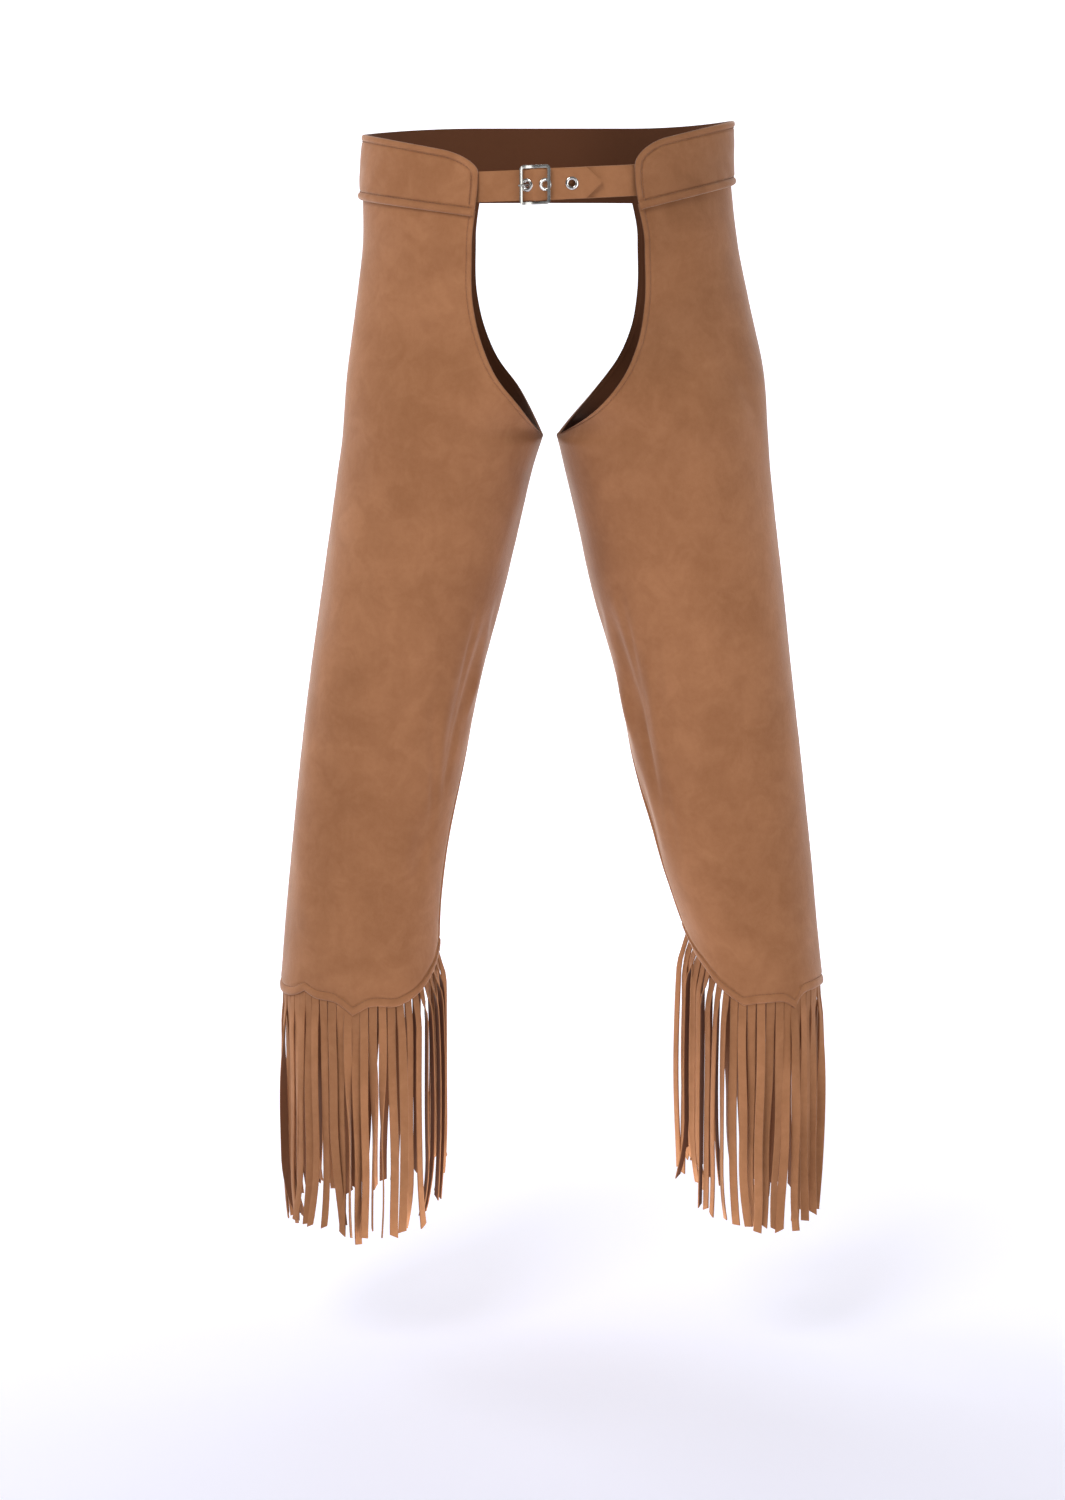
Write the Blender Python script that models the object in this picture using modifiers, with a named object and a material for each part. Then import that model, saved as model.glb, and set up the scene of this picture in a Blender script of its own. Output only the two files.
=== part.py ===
"""Fringed suede chaps on a buckled belt, hollow and as worn. Metres, +Z up, the wearer faces -Y.

The origin is the middle of the waist, level with the belt. The wearer's right leg is at -X.
Each leg is a front and a back panel. Both lie on rings round the leg: a ring is a rounded oval,
its side seam is at a turn of 0, and a panel runs from there round to its inner edge.
"""

import math
import random
from collections import namedtuple

import bmesh
import bpy
from mathutils import Vector

# Cloth walls and clearances
LEG_WALL = 0.0018
YOKE_WALL = 0.0022
STRAP_WALL = 0.0015
FRINGE_WALL = 0.0013
GAP = 0.0003
MERGE = 0.00001
SEAM_GAP = 0.0004

# Ring heights that shape the legs
FORK_TOP = -0.120
CROTCH = -0.2145
KNEE = -0.445
KNEE_OPENING = 0.120
FRONT_PART = math.radians(14)
BACK_PART = math.radians(30)
OVAL = 2.2

# Heights of the rows of a leg panel, between its yoke and its hem
LEG_ROWS = (-0.050, -0.090, -0.120, -0.142, -0.160, -0.174, -0.185, -0.194, -0.203, -0.2145,
            -0.240, -0.280, -0.330, -0.380, -0.420, -0.445, -0.480, -0.525, -0.570, -0.615)
WIDEST_COLUMN = 0.085
SEAM_COLUMN = 0.03
CORNER_COLUMNS = (0.88, 0.93, 0.97)

# Outer side, front opening's edge and inseam, all as distances from the body's middle plane
Level = namedtuple("Level", "height out")
OUTER = {
    "right": (Level(0.05, 0.1560), Level(0.0, 0.1596), Level(-0.05, 0.1597), Level(-0.10, 0.1657),
              Level(-0.16, 0.1740), Level(-0.216, 0.1787), Level(-0.28, 0.1880), Level(-0.35, 0.1984),
              Level(-0.42, 0.2086), Level(-0.50, 0.2187), Level(-0.58, 0.2272), Level(-0.66, 0.2350),
              Level(-0.72, 0.2400)),
    "left": (Level(0.05, 0.1535), Level(0.0, 0.1543), Level(-0.05, 0.1600), Level(-0.10, 0.1705),
             Level(-0.16, 0.1836), Level(-0.216, 0.1876), Level(-0.28, 0.1944), Level(-0.35, 0.2031),
             Level(-0.42, 0.2110), Level(-0.50, 0.2207), Level(-0.58, 0.2298), Level(-0.66, 0.2380),
             Level(-0.72, 0.2450)),
}
OPENING = {
    "right": (Level(0.05, 0.0595), Level(0.0, 0.0600), Level(-0.05, 0.0656), Level(-0.10, 0.0645),
              Level(-0.13, 0.0575), Level(-0.16, 0.0435), Level(-0.18, 0.0275), Level(CROTCH, 0.0060)),
    "left": (Level(0.05, 0.0690), Level(0.0, 0.0700), Level(-0.05, 0.0785), Level(-0.10, 0.0783),
             Level(-0.13, 0.0728), Level(-0.16, 0.0590), Level(-0.18, 0.0430), Level(CROTCH, 0.0060)),
}
INSEAM = {
    "right": (Level(CROTCH, 0.0060), Level(-0.245, 0.0154), Level(-0.28, 0.0235), Level(-0.35, 0.0400),
              Level(-0.42, 0.0585), Level(-0.50, 0.0748), Level(-0.58, 0.0904), Level(-0.62, 0.0950),
              Level(-0.72, 0.0960)),
    "left": (Level(CROTCH, 0.0060), Level(-0.245, 0.0131), Level(-0.28, 0.0215), Level(-0.35, 0.0370),
             Level(-0.42, 0.0570), Level(-0.50, 0.0735), Level(-0.58, 0.0957), Level(-0.62, 0.1090),
             Level(-0.66, 0.1220), Level(-0.72, 0.1260)),
}
# Front and back depth of the rings, measured from the side seams
FRONT_DEPTH = (Level(0.05, 0.098), Level(0.0, 0.102), Level(-0.05, 0.105), Level(-0.15, 0.105),
               Level(-0.25, 0.100), Level(-0.35, 0.093), Level(-0.42, 0.086), Level(-0.50, 0.080),
               Level(-0.58, 0.078), Level(-0.72, 0.077))
BACK_DEPTH = (Level(0.05, 0.098), Level(0.0, 0.106), Level(-0.05, 0.118), Level(-0.10, 0.126),
              Level(-0.15, 0.126), Level(-0.20, 0.118), Level(-0.25, 0.108), Level(-0.35, 0.094),
              Level(-0.42, 0.084), Level(-0.50, 0.082), Level(-0.60, 0.087), Level(-0.72, 0.085))

# Soft creases of the legs: a trough along the leg at a turn, from one height to another
Crease = namedtuple("Crease", "turn top bottom width depth")
CREASES = {
    ("right", "front"): (Crease(151, -0.35, -0.50, 7, 0.0035), Crease(128, -0.52, -0.62, 8, 0.0025)),
    ("left", "front"): (Crease(149, -0.33, -0.51, 7, 0.0040), Crease(160, -0.49, -0.60, 6, 0.0025)),
    ("right", "back"): (Crease(140, -0.36, -0.47, 9, 0.0045), Crease(75, -0.40, -0.55, 10, 0.0030)),
    ("left", "back"): (Crease(138, -0.35, -0.48, 9, 0.0045), Crease(70, -0.38, -0.52, 10, 0.0030)),
}

# Hem outline of each panel: its height at a share of the way from side seam to inner edge
Hem = namedtuple("Hem", "across height")
HEMS = {
    ("right", "front"): (Hem(0.0, -0.7030), Hem(0.13, -0.7025), Hem(0.24, -0.6985), Hem(0.30, -0.6929),
                         Hem(0.36, -0.6975), Hem(0.47, -0.7015), Hem(0.527, -0.7113), Hem(0.56, -0.7058),
                         Hem(0.70, -0.7046), Hem(0.79, -0.6985), Hem(0.88, -0.6875), Hem(0.94, -0.6780),
                         Hem(1.0, -0.6640)),
    ("left", "front"): (Hem(0.0, -0.7000), Hem(0.12, -0.6955), Hem(0.25, -0.6941), Hem(0.34, -0.6990),
                        Hem(0.372, -0.7068), Hem(0.42, -0.7008), Hem(0.52, -0.6998), Hem(0.62, -0.7026),
                        Hem(0.69, -0.6955), Hem(0.76, -0.6876), Hem(0.845, -0.6751), Hem(0.94, -0.6629),
                        Hem(1.0, -0.6500)),
    ("right", "back"): (Hem(0.0, -0.7030), Hem(0.15, -0.7025), Hem(0.28, -0.6935), Hem(0.42, -0.7020),
                        Hem(0.50, -0.7110), Hem(0.58, -0.7045), Hem(0.72, -0.7020), Hem(0.86, -0.6890),
                        Hem(1.0, -0.6650)),
    ("left", "back"): (Hem(0.0, -0.7000), Hem(0.14, -0.7015), Hem(0.26, -0.6930), Hem(0.40, -0.7015),
                       Hem(0.48, -0.7105), Hem(0.56, -0.7040), Hem(0.72, -0.7015), Hem(0.86, -0.6880),
                       Hem(1.0, -0.6620)),
}

# Hip yokes: heights of the lower and upper edge at the side, the front end and the back,
# and the round corner between the upper edge and the front end. The front half of a yoke
# is about one girth long.
LAP = 0.0085
YOKE_ROWS = (0.35, 0.68, 1.0)
YOKE_BACK_COLUMNS = 3
YOKE_GIRTH = 0.18
YOKE_ARC = 2.0
YOKE_FALL = 1.9
Yoke = namedtuple("Yoke", "low_side low_front low_back top_side top_front top_back corner_wide corner_tall")
YOKES = {
    "right": Yoke(-0.0135, -0.0255, -0.0190, 0.0410, 0.0235, 0.0460, 0.032, 0.0135),
    "left": Yoke(-0.0010, -0.0200, -0.0190, 0.0525, 0.0325, 0.0460, 0.032, 0.0165),
}

# Fringe: one strip of strands under each hem. A strand leaves square to the hem, then hangs.
HEADER_LOW = 0.003
HEADER_HIGH = 0.012
STRAND_PITCH = 0.0085
STRAND_WIDTH = 0.0073
STRAND_LENGTH = 0.215
SHORTEST = 0.975
STRAND_TOP = 0.0107
STRAND_STATIONS = (0.10, 0.42, 1.0)
SETTLED_AT_TOP = 0.5
STAGGER = 0.0020
SWAY = 0.0040
SWAY_STRANDS = 9
SWAY_DRIFT = 0.3
TWIST = math.radians(18)
# The strands next to a side seam hang straight
SEAM_STRANDS = 3
# Where the hem rises to its inner edge, the strands lean out: a lean is the sine of its slope
STEEP_FROM = 0.60
STEEP_EASE = 0.20
SLOPE_SPAN = 0.06
EDGE_TWIST = math.radians(55)
EDGE_FLARE = 0.007
TWISTED_LEAN = 0.4
STILL_LEAN = 0.25
LEVEL_LEAN = 0.5
HEM_SAMPLES = 400
FRINGE_SEEDS = {("right", "front"): 62, ("left", "front"): 61, ("right", "back"): 52, ("left", "back"): 51}

# Belt: its band runs level across the front, rising a little towards the wearer's left
BELT_WIDTH = 0.025
BELT_RISE = 0.0415
BELT_MIDDLE = 0.0012
BAND_STEP = 0.004
SLOPE_STEP = 0.0005
HOLE_RADIUS = 0.0036
EYELET_PLACES = (-0.0193, -0.0047, 0.0174)
TIP_START = 0.0295
TIP_END = 0.0415
TIP_BLUNT = 0.0012
# How far the middle of each band stands in front of the waist ring
Stand = namedtuple("Stand", "along out")
POINT_BAND = (Stand(-0.080, -0.0029), Stand(-0.066, -0.0029), Stand(-0.056, -0.0004),
              Stand(-0.040, 0.0012), Stand(-0.0290, 0.0021), Stand(-0.0244, 0.0026), Stand(-0.0193, 0.0047),
              Stand(-0.0130, 0.0074), Stand(-0.0068, 0.0055), Stand(-0.0047, 0.0047), Stand(-0.0015, 0.0037),
              Stand(0.012, 0.0034), Stand(TIP_END, 0.0030))
BUCKLE_BAND = (Stand(0.090, -0.0030), Stand(0.067, -0.0028), Stand(0.052, -0.0007), Stand(0.0, -0.0005),
               Stand(-0.0060, -0.0003))
FOLD_BACK = (Stand(-0.0076, 0.0035), Stand(-0.0045, 0.0022), Stand(-0.0015, 0.0015), Stand(0.012, 0.0014))

# Buckle: a wire frame with a bar across its middle, bowed towards the body there
WIRE = 0.00125
FRAME_LEFT = -0.0244
FRAME_RIGHT = -0.0015
FRAME_HEIGHT = 0.0298
FRAME_CORNER = 0.0035
CORNER_STEPS = 4
SIDE_STEPS = 5
WIRE_ROUNDNESS = 2
FRAME_STAND = 0.0076
FRAME_BOW = 0.0045
BAR_PLACE = (FRAME_LEFT + FRAME_RIGHT) / 2
BAR_STAND = FRAME_STAND - FRAME_BOW
LOOP_RADIUS = WIRE + GAP + STRAP_WALL / 2
LOOP_STEPS = 8
SLOT_HEIGHT = 0.0036
SLOT_DEPTH = 0.0078
PRONG = 0.0008
PRONG_REST = FRAME_STAND + WIRE + GAP + PRONG
PRONG_ROUTE = (Stand(BAR_PLACE - WIRE - 0.0004, BAR_STAND), Stand(-0.0189, BAR_STAND + 0.0009),
               Stand(-0.0207, BAR_STAND + 0.0035), Stand(-0.0225, PRONG_REST - 0.0003),
               Stand(FRAME_LEFT, PRONG_REST + 0.0002), Stand(-0.0266, PRONG_REST - 0.0003))
EYELET_RADIUS = 0.0055
EYELET_BORE = 0.0027
EYELET_BARREL = HOLE_RADIUS - GAP
EYELET_LIP = 0.0006
EYELET_STAND = 0.0007
EYELET_STEPS = 20

SIDES = {"right": -1, "left": 1}
FACES = {"front": -1, "back": 1}
SUEDE = (0.34, 0.155, 0.080)
DARK_SUEDE = (0.27, 0.115, 0.055)
SILVER = (0.62, 0.61, 0.59)


def clear_scene():
    for item in list(bpy.data.objects):
        bpy.data.objects.remove(item, do_unlink=True)


def finish_of(name, colour, roughness, metallic=0.0):
    made = bpy.data.materials.new(name)
    made.use_nodes = True
    shader = made.node_tree.nodes["Principled BSDF"]
    shader.inputs["Base Color"].default_value = (*colour, 1.0)
    shader.inputs["Roughness"].default_value = roughness
    shader.inputs["Metallic"].default_value = metallic
    return made


def collection_of(name):
    made = bpy.data.collections.new(name)
    bpy.context.scene.collection.children.link(made)
    return made


def add_object(name, mesh, collection, material):
    made = bpy.data.objects.new(name, mesh)
    made.data.materials.append(material)
    collection.objects.link(made)
    return made


def eased(share):
    """Return a smooth step from 0 to 1."""
    share = min(1.0, max(0.0, share))
    return share * share * (3 - 2 * share)


def read_curve(rows, at):
    """Return the value at a place on the smooth curve through a table's rows, without overshoot."""
    rows = sorted(rows)
    places = [row[0] for row in rows]
    values = [row[1] for row in rows]
    steps = [b - a for a, b in zip(places, places[1:])]
    rates = [(b - a) / step for a, b, step in zip(values, values[1:], steps)]
    if at <= places[0]:
        return values[0] + rates[0] * (at - places[0])
    if at >= places[-1]:
        return values[-1] + rates[-1] * (at - places[-1])
    slopes = [rates[0]]
    for k in range(1, len(rates)):
        level = rates[k - 1] * rates[k] <= 0
        weight = steps[k - 1] + steps[k]
        slopes.append(0.0 if level else (rates[k - 1] * steps[k] + rates[k] * steps[k - 1]) / weight)
    slopes.append(rates[-1])
    k = next(i for i in range(len(steps)) if at <= places[i + 1])
    t = (at - places[k]) / steps[k]
    start = (2 * t**3 - 3 * t**2 + 1) * values[k] + (t**3 - 2 * t**2 + t) * steps[k] * slopes[k]
    end = (3 * t**2 - 2 * t**3) * values[k + 1] + (t**3 - t**2) * steps[k] * slopes[k + 1]
    return start + end


def read_line(rows, at):
    """Return the value at a place on the straight lines through a table's rows."""
    for first, second in zip(rows, rows[1:]):
        if at <= second[0]:
            return first[1] + (second[1] - first[1]) * (at - first[0]) / (second[0] - first[0])
    return rows[-1][1]


def signed_power(value, power):
    return math.copysign(abs(value) ** power, value)


Ring = namedtuple("Ring", "middle half edge_share")


def ring_at(side, height):
    """Return a ring's middle and half width, and where across it the front edge lies."""
    outer = read_curve(OUTER[side], height)
    if height > CROTCH:
        edge = read_curve(OPENING[side], height)
        fork = eased((FORK_TOP - height) / (FORK_TOP - CROTCH))
        middle = fork * (outer + edge) / 2
        return Ring(middle, outer - middle, (edge - middle) / (outer - middle))
    edge = read_curve(INSEAM[side], height)
    part = FRONT_PART * eased((KNEE - height) / KNEE_OPENING)
    share = -math.cos(part) ** (2 / OVAL)
    half = (outer - edge) / (1 - share)
    return Ring(outer - half, half, share)


def edge_turn(side, face, height):
    """Return the turn of a panel's inner edge: the opening, the inseam, or the free edge below the knee."""
    share = max(-1.0, min(1.0, ring_at(side, height).edge_share))
    turn = math.acos(signed_power(share, OVAL / 2))
    if height < CROTCH and face == "back":
        turn = math.pi - BACK_PART * eased((KNEE - height) / KNEE_OPENING)
    return turn


def depth_at(face, height):
    return read_curve(FRONT_DEPTH if face == "front" else BACK_DEPTH, height)


def crease_at(side, face, turn, height):
    """Return how far the creases press the cloth in at a point of a panel."""
    pressed = 0.0
    for crease in CREASES[side, face]:
        along = (crease.top - height) / (crease.top - crease.bottom)
        if 0 < along < 1:
            aside = (math.degrees(turn) - crease.turn) / crease.width
            pressed += crease.depth * math.sin(math.pi * along) ** 2 * math.exp(-aside * aside)
    return pressed


def out_of_ring(side, face, turn, height):
    """Return the level direction that points out of a ring."""
    ring = ring_at(side, height)
    across = signed_power(math.cos(turn), 2 - 2 / OVAL) / ring.half
    deep = abs(math.sin(turn)) ** (2 - 2 / OVAL) / depth_at(face, height)
    return Vector((SIDES[side] * across, FACES[face] * deep, 0)).normalized()


def ring_point(side, face, turn, height, lift=0.0):
    """Return the point of a ring at a turn from the side seam, moved out by a lift."""
    ring = ring_at(side, height)
    x = ring.middle + ring.half * signed_power(math.cos(turn), 2 / OVAL)
    y = depth_at(face, height) * abs(math.sin(turn)) ** (2 / OVAL)
    flat = Vector((SIDES[side] * x, FACES[face] * y, height))
    lift -= crease_at(side, face, turn, height)
    return flat + lift * out_of_ring(side, face, turn, height)


def panel_turn(side, face, across, height):
    """Return the turn at a share of a panel's width, clear of the seams that it meets."""
    start = math.asin((SEAM_GAP / 2 / depth_at(face, height)) ** (OVAL / 2))
    end = min(edge_turn(side, face, height), math.pi - start)
    return start + across * (end - start)


def panel_columns(side, face):
    """Return the shares of a panel's width where its columns stand."""
    fixed = {hem.across for hem in HEMS[side, face]} | {0.0, SEAM_COLUMN, 1.0} | set(CORNER_COLUMNS)
    fixed = sorted(fixed)
    columns = [0.0]
    for place in fixed[1:]:
        width = place - columns[-1]
        if width < SEAM_COLUMN / 2:
            continue
        parts = math.ceil(width / WIDEST_COLUMN)
        start = columns[-1]
        columns += [start + width * part / parts for part in range(1, parts + 1)]
    columns[-1] = 1.0
    return columns


def yoke_low(side, face, across):
    yoke = YOKES[side]
    end = yoke.low_front if face == "front" else yoke.low_back
    return yoke.low_side + (end - yoke.low_side) * across**YOKE_FALL


def yoke_top(side, face, across):
    """Return the height of a yoke's upper edge, which rounds down to its front end."""
    yoke = YOKES[side]
    if face == "back":
        return yoke.top_side + (yoke.top_back - yoke.top_side) * eased(across)
    level = yoke.top_side + (yoke.top_front - yoke.top_side) * across**YOKE_ARC
    into = 1 - (1 - across) * YOKE_GIRTH / yoke.corner_wide
    if into <= 0:
        return level
    return level - yoke.corner_tall * (1 - math.sqrt(1 - into * into))


def grid_mesh(name, grid, outward):
    """Return a mesh of quads through a grid of points, with its faces towards a direction."""
    built = bmesh.new()
    rows = [[built.verts.new(point) for point in row] for row in grid]
    for upper, lower in zip(rows, rows[1:]):
        for a, b, c, d in zip(upper, upper[1:], lower[1:], lower):
            built.faces.new((a, b, c, d))
    built.normal_update()
    faces = built.faces[:]
    right_way = sum(1 for face in faces if face.normal.dot(outward(face.calc_center_median())) > 0)
    if right_way < len(faces) / 2:
        bmesh.ops.reverse_faces(built, faces=faces)
    mesh = bpy.data.meshes.new(name)
    built.to_mesh(mesh)
    built.free()
    return mesh


def thicken(piece, thickness, offset):
    wall = piece.modifiers.new("Wall", "SOLIDIFY")
    wall.thickness = thickness
    wall.offset = offset
    wall.use_even_offset = True


def leg_heights(side, face, across):
    """Return the heights of a panel's rows in one column, from under the yoke down to the hem."""
    low = yoke_low(side, face, across)
    hem = read_line(HEMS[side, face], across)
    last = LEG_ROWS[-1]
    return (low + LAP, low, *LEG_ROWS, (last + hem) / 2, hem)


def make_leg_panel(side, face, collection, material):
    columns = panel_columns(side, face)
    heights = [leg_heights(side, face, across) for across in columns]
    grid = []
    for row in range(len(heights[0])):
        points = []
        for across, column in zip(columns, heights):
            turn = panel_turn(side, face, across, column[row])
            points.append(ring_point(side, face, turn, column[row]))
        grid.append(points)
    name = f"leg_{face}_{side}"

    def outward(point):
        ring = ring_at(side, point.z)
        return Vector((point.x - SIDES[side] * ring.middle, point.y, 0))

    piece = add_object(name, grid_mesh(name, grid, outward), collection, material)
    thicken(piece, LEG_WALL, -1)
    piece.data.shade_smooth()


def yoke_column(side, face, across, past_edge=0.0):
    """Return a yoke's points in one column, from its lower edge to its upper edge."""
    low = yoke_low(side, face, across)
    top = yoke_top(side, face, across)
    heights = [low, low + LAP] + [low + LAP + (top - low - LAP) * row for row in YOKE_ROWS]
    points = []
    for height in heights:
        edge = edge_turn(side, face, height)
        turn = panel_turn(side, face, across, height)
        if past_edge:
            last = math.acos(SEAM_GAP / 2 / ring_at(side, height).half)
            turn = edge + past_edge * (last - edge)
        points.append(ring_point(side, face, turn, height, GAP + YOKE_WALL))
    return points


def make_yoke(side, collection, material):
    front = [yoke_column(side, "front", across) for across in reversed(panel_columns(side, "front"))]
    back = [yoke_column(side, "back", across) for across in panel_columns(side, "back")]
    rest = [
        yoke_column(side, "back", 1.0, (column + 1) / YOKE_BACK_COLUMNS)
        for column in range(YOKE_BACK_COLUMNS)
    ]
    grid = front + back + rest
    name = f"yoke_{side}"
    piece = add_object(name, grid_mesh(name, grid, lambda point: Vector((point.x, point.y, 0))),
                       collection, material)
    thicken(piece, YOKE_WALL, -1)
    piece.data.shade_smooth()


def hem_point(side, face, columns, across, height, lift):
    """Return a point near a hem that lies on the panel's own flat faces, moved out by a lift."""
    k = next((i for i in range(len(columns) - 1) if across <= columns[i + 1]), len(columns) - 2)
    share = (across - columns[k]) / (columns[k + 1] - columns[k])
    hem = HEMS[side, face]
    rise = height - read_line(hem, columns[k]) * (1 - share) - read_line(hem, columns[k + 1]) * share
    ends = []
    for column in (columns[k], columns[k + 1]):
        level = read_line(hem, column) + rise
        turn = panel_turn(side, face, column, level)
        ends.append(ring_point(side, face, turn, level, lift))
    return ends[0].lerp(ends[1], share)


def strand_places(side, face, columns):
    """Return the shares of a hem's width where its strands start and end, evenly along the hem."""
    shares = [k / HEM_SAMPLES for k in range(HEM_SAMPLES + 1)]
    hem = HEMS[side, face]
    points = [hem_point(side, face, columns, share, read_line(hem, share), 0.0) for share in shares]
    lengths = [0.0]
    for a, b in zip(points, points[1:]):
        lengths.append(lengths[-1] + (b - a).length)
    count = int(lengths[-1] / STRAND_PITCH)
    pitch = lengths[-1] / count
    rows = list(zip(lengths, shares))
    slack = (pitch - STRAND_WIDTH) / 2
    return [
        (read_line(rows, k * pitch + slack), read_line(rows, (k + 1) * pitch - slack))
        for k in range(count)
    ]


def hem_slope(side, face, columns, across):
    """Return how steeply a hem rises to its inner edge, evened out over a few strands."""
    hem = HEMS[side, face]
    start, end = max(0.0, across - SLOPE_SPAN), min(1.0, across + SLOPE_SPAN)
    step = (hem_point(side, face, columns, end, read_line(hem, end), 0.0)
            - hem_point(side, face, columns, start, read_line(hem, start), 0.0))
    steep = math.atan2(max(0.0, step.z), math.hypot(step.x, step.y))
    return steep * eased((across - STEEP_FROM) / STEEP_EASE)


def strand_rings(top, number, slope, outward, draws):
    """Return the corner points of a hanging strand at its stations, below its four top corners."""
    middle = sum(top, Vector()) / len(top)
    along = top[1] - top[0]
    along.z = 0
    flat_width = min(along.length, STRAND_WIDTH)
    along.normalize()
    lean = math.sin(slope)
    free = min(1.0, number / SEAM_STRANDS)
    turned_in = eased(lean / TWISTED_LEAN)
    twist = EDGE_TWIST * lean + TWIST * (1 - turned_in) * free * draws.uniform(-1, 1)
    sway = SWAY * math.sin(2 * math.pi * number / SWAY_STRANDS + draws.uniform(-SWAY_DRIFT, SWAY_DRIFT))
    sway *= free * (1 - eased(lean / STILL_LEAN))
    stagger = STAGGER * (1 - eased(lean / LEVEL_LEAN)) * (1 if number % 2 else -1)
    length = (STRAND_LENGTH - STRAND_TOP) * draws.uniform(SHORTEST, 1.0)
    rings = []
    for station in STRAND_STATIONS:
        settled = min(1.0, SETTLED_AT_TOP + station)
        out = (stagger + EDGE_FLARE * lean) * settled
        centre = middle + along * sway * station**2 + outward * out - Vector((0, 0, length * station))
        turned = twist * settled
        wide = along * math.cos(turned) + outward * math.sin(turned)
        thick = outward * math.cos(turned) - along * math.sin(turned)
        opened = turned_in * eased((station - STRAND_STATIONS[0]) / STRAND_STATIONS[1])
        wide *= (flat_width + (STRAND_WIDTH - flat_width) * opened) / 2
        thick *= FRINGE_WALL / 2
        rings.append([
            centre - wide + thick, centre + wide + thick,
            centre + wide - thick, centre - wide - thick,
        ])
    return rings


def make_fringe(side, face, collection, material):
    """Make a header strip behind a hem with its strands, as one closed body."""
    columns = panel_columns(side, face)
    hem = HEMS[side, face]
    draws = random.Random(FRINGE_SEEDS[side, face])
    outer = -(LEG_WALL + GAP)
    inner = outer - FRINGE_WALL
    built = bmesh.new()

    def hem_vert(across, rise, lift):
        height = read_line(hem, across) + rise
        return built.verts.new(hem_point(side, face, columns, across, height, lift))

    def boundary(across):
        spots = ((HEADER_LOW, outer), (HEADER_HIGH, outer), (HEADER_HIGH, inner), (HEADER_LOW, inner))
        return [hem_vert(across, rise, lift) for rise, lift in spots]

    def sleeve(above, below):
        for k in range(4):
            built.faces.new((above[k], below[k], below[(k + 1) % 4], above[(k + 1) % 4]))

    last = None
    for number, (start, end) in enumerate(strand_places(side, face, columns)):
        a, b = boundary(start), boundary(end)
        if last is None:
            built.faces.new(a[::-1])
        else:
            for k in range(4):
                built.faces.new((last[k], a[k], a[(k + 1) % 4], last[(k + 1) % 4]))
        for k in range(3):
            built.faces.new((a[k], b[k], b[k + 1], a[k + 1]))
        root = (a[0], b[0], b[3], a[3])
        slope = hem_slope(side, face, columns, (start + end) / 2)
        shift = (end - start) * STRAND_TOP * math.tan(slope) / STRAND_WIDTH
        top = []
        for across, lift in ((start, outer), (end, outer), (end, inner), (start, inner)):
            height = read_line(hem, across) + HEADER_LOW - STRAND_TOP * math.cos(slope)
            top.append(built.verts.new(hem_point(side, face, columns, across + shift, height, lift)))
        sleeve(root, top)
        middle = (start + end) / 2 + shift
        outward = out_of_ring(side, face, panel_turn(side, face, middle, top[0].co.z), top[0].co.z)
        above = top
        for ring in strand_rings([vert.co for vert in top], number, slope, outward, draws):
            below = [built.verts.new(point) for point in ring]
            sleeve(above, below)
            above = below
        built.faces.new(above[::-1])
        last = b
    built.faces.new(last)
    bmesh.ops.recalc_face_normals(built, faces=built.faces[:])
    name = f"fringe_{face}_{side}"
    mesh = bpy.data.meshes.new(name)
    built.to_mesh(mesh)
    built.free()
    add_object(name, mesh, collection, material)


def belt_height(along):
    return BELT_MIDDLE + BELT_RISE * along


def belt_point(along, out, up=0.0):
    """Return a point of the belt, in front of the waist ring by a distance."""
    side = "left" if along > 0 else "right"
    half = read_curve(OUTER[side], 0.0)
    depth = depth_at("front", 0.0) * (1 - abs(along / half) ** OVAL) ** (1 / OVAL)
    return Vector((along, -depth - out, belt_height(along) + up))


def band_places(rows):
    """Return the places along a band, at even steps from its first row to its last."""
    start, end = rows[0].along, rows[-1].along
    steps = math.ceil(abs(end - start) / BAND_STEP)
    return [start + (end - start) * step / steps for step in range(steps + 1)]


def make_cutter(name, place, size, collection):
    bpy.ops.mesh.primitive_cube_add(size=1, location=place)
    cutter = bpy.context.object
    cutter.name = name
    cutter.scale = size
    hide_cutter(cutter, collection)
    return cutter


def hide_cutter(cutter, collection):
    cutter.hide_render = True
    cutter.display_type = "WIRE"
    for holder in list(cutter.users_collection):
        holder.objects.unlink(cutter)
    collection.objects.link(cutter)


def cut(piece, cutter):
    hole = piece.modifiers.new("Cut", "BOOLEAN")
    hole.operation = "DIFFERENCE"
    hole.object = cutter


def band_slope(rows, along):
    """Return the turn about the vertical that a band has at a place."""
    before = belt_point(along - SLOPE_STEP, read_curve(rows, along - SLOPE_STEP))
    after = belt_point(along + SLOPE_STEP, read_curve(rows, along + SLOPE_STEP))
    return math.atan2(after.y - before.y, after.x - before.x)


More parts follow.
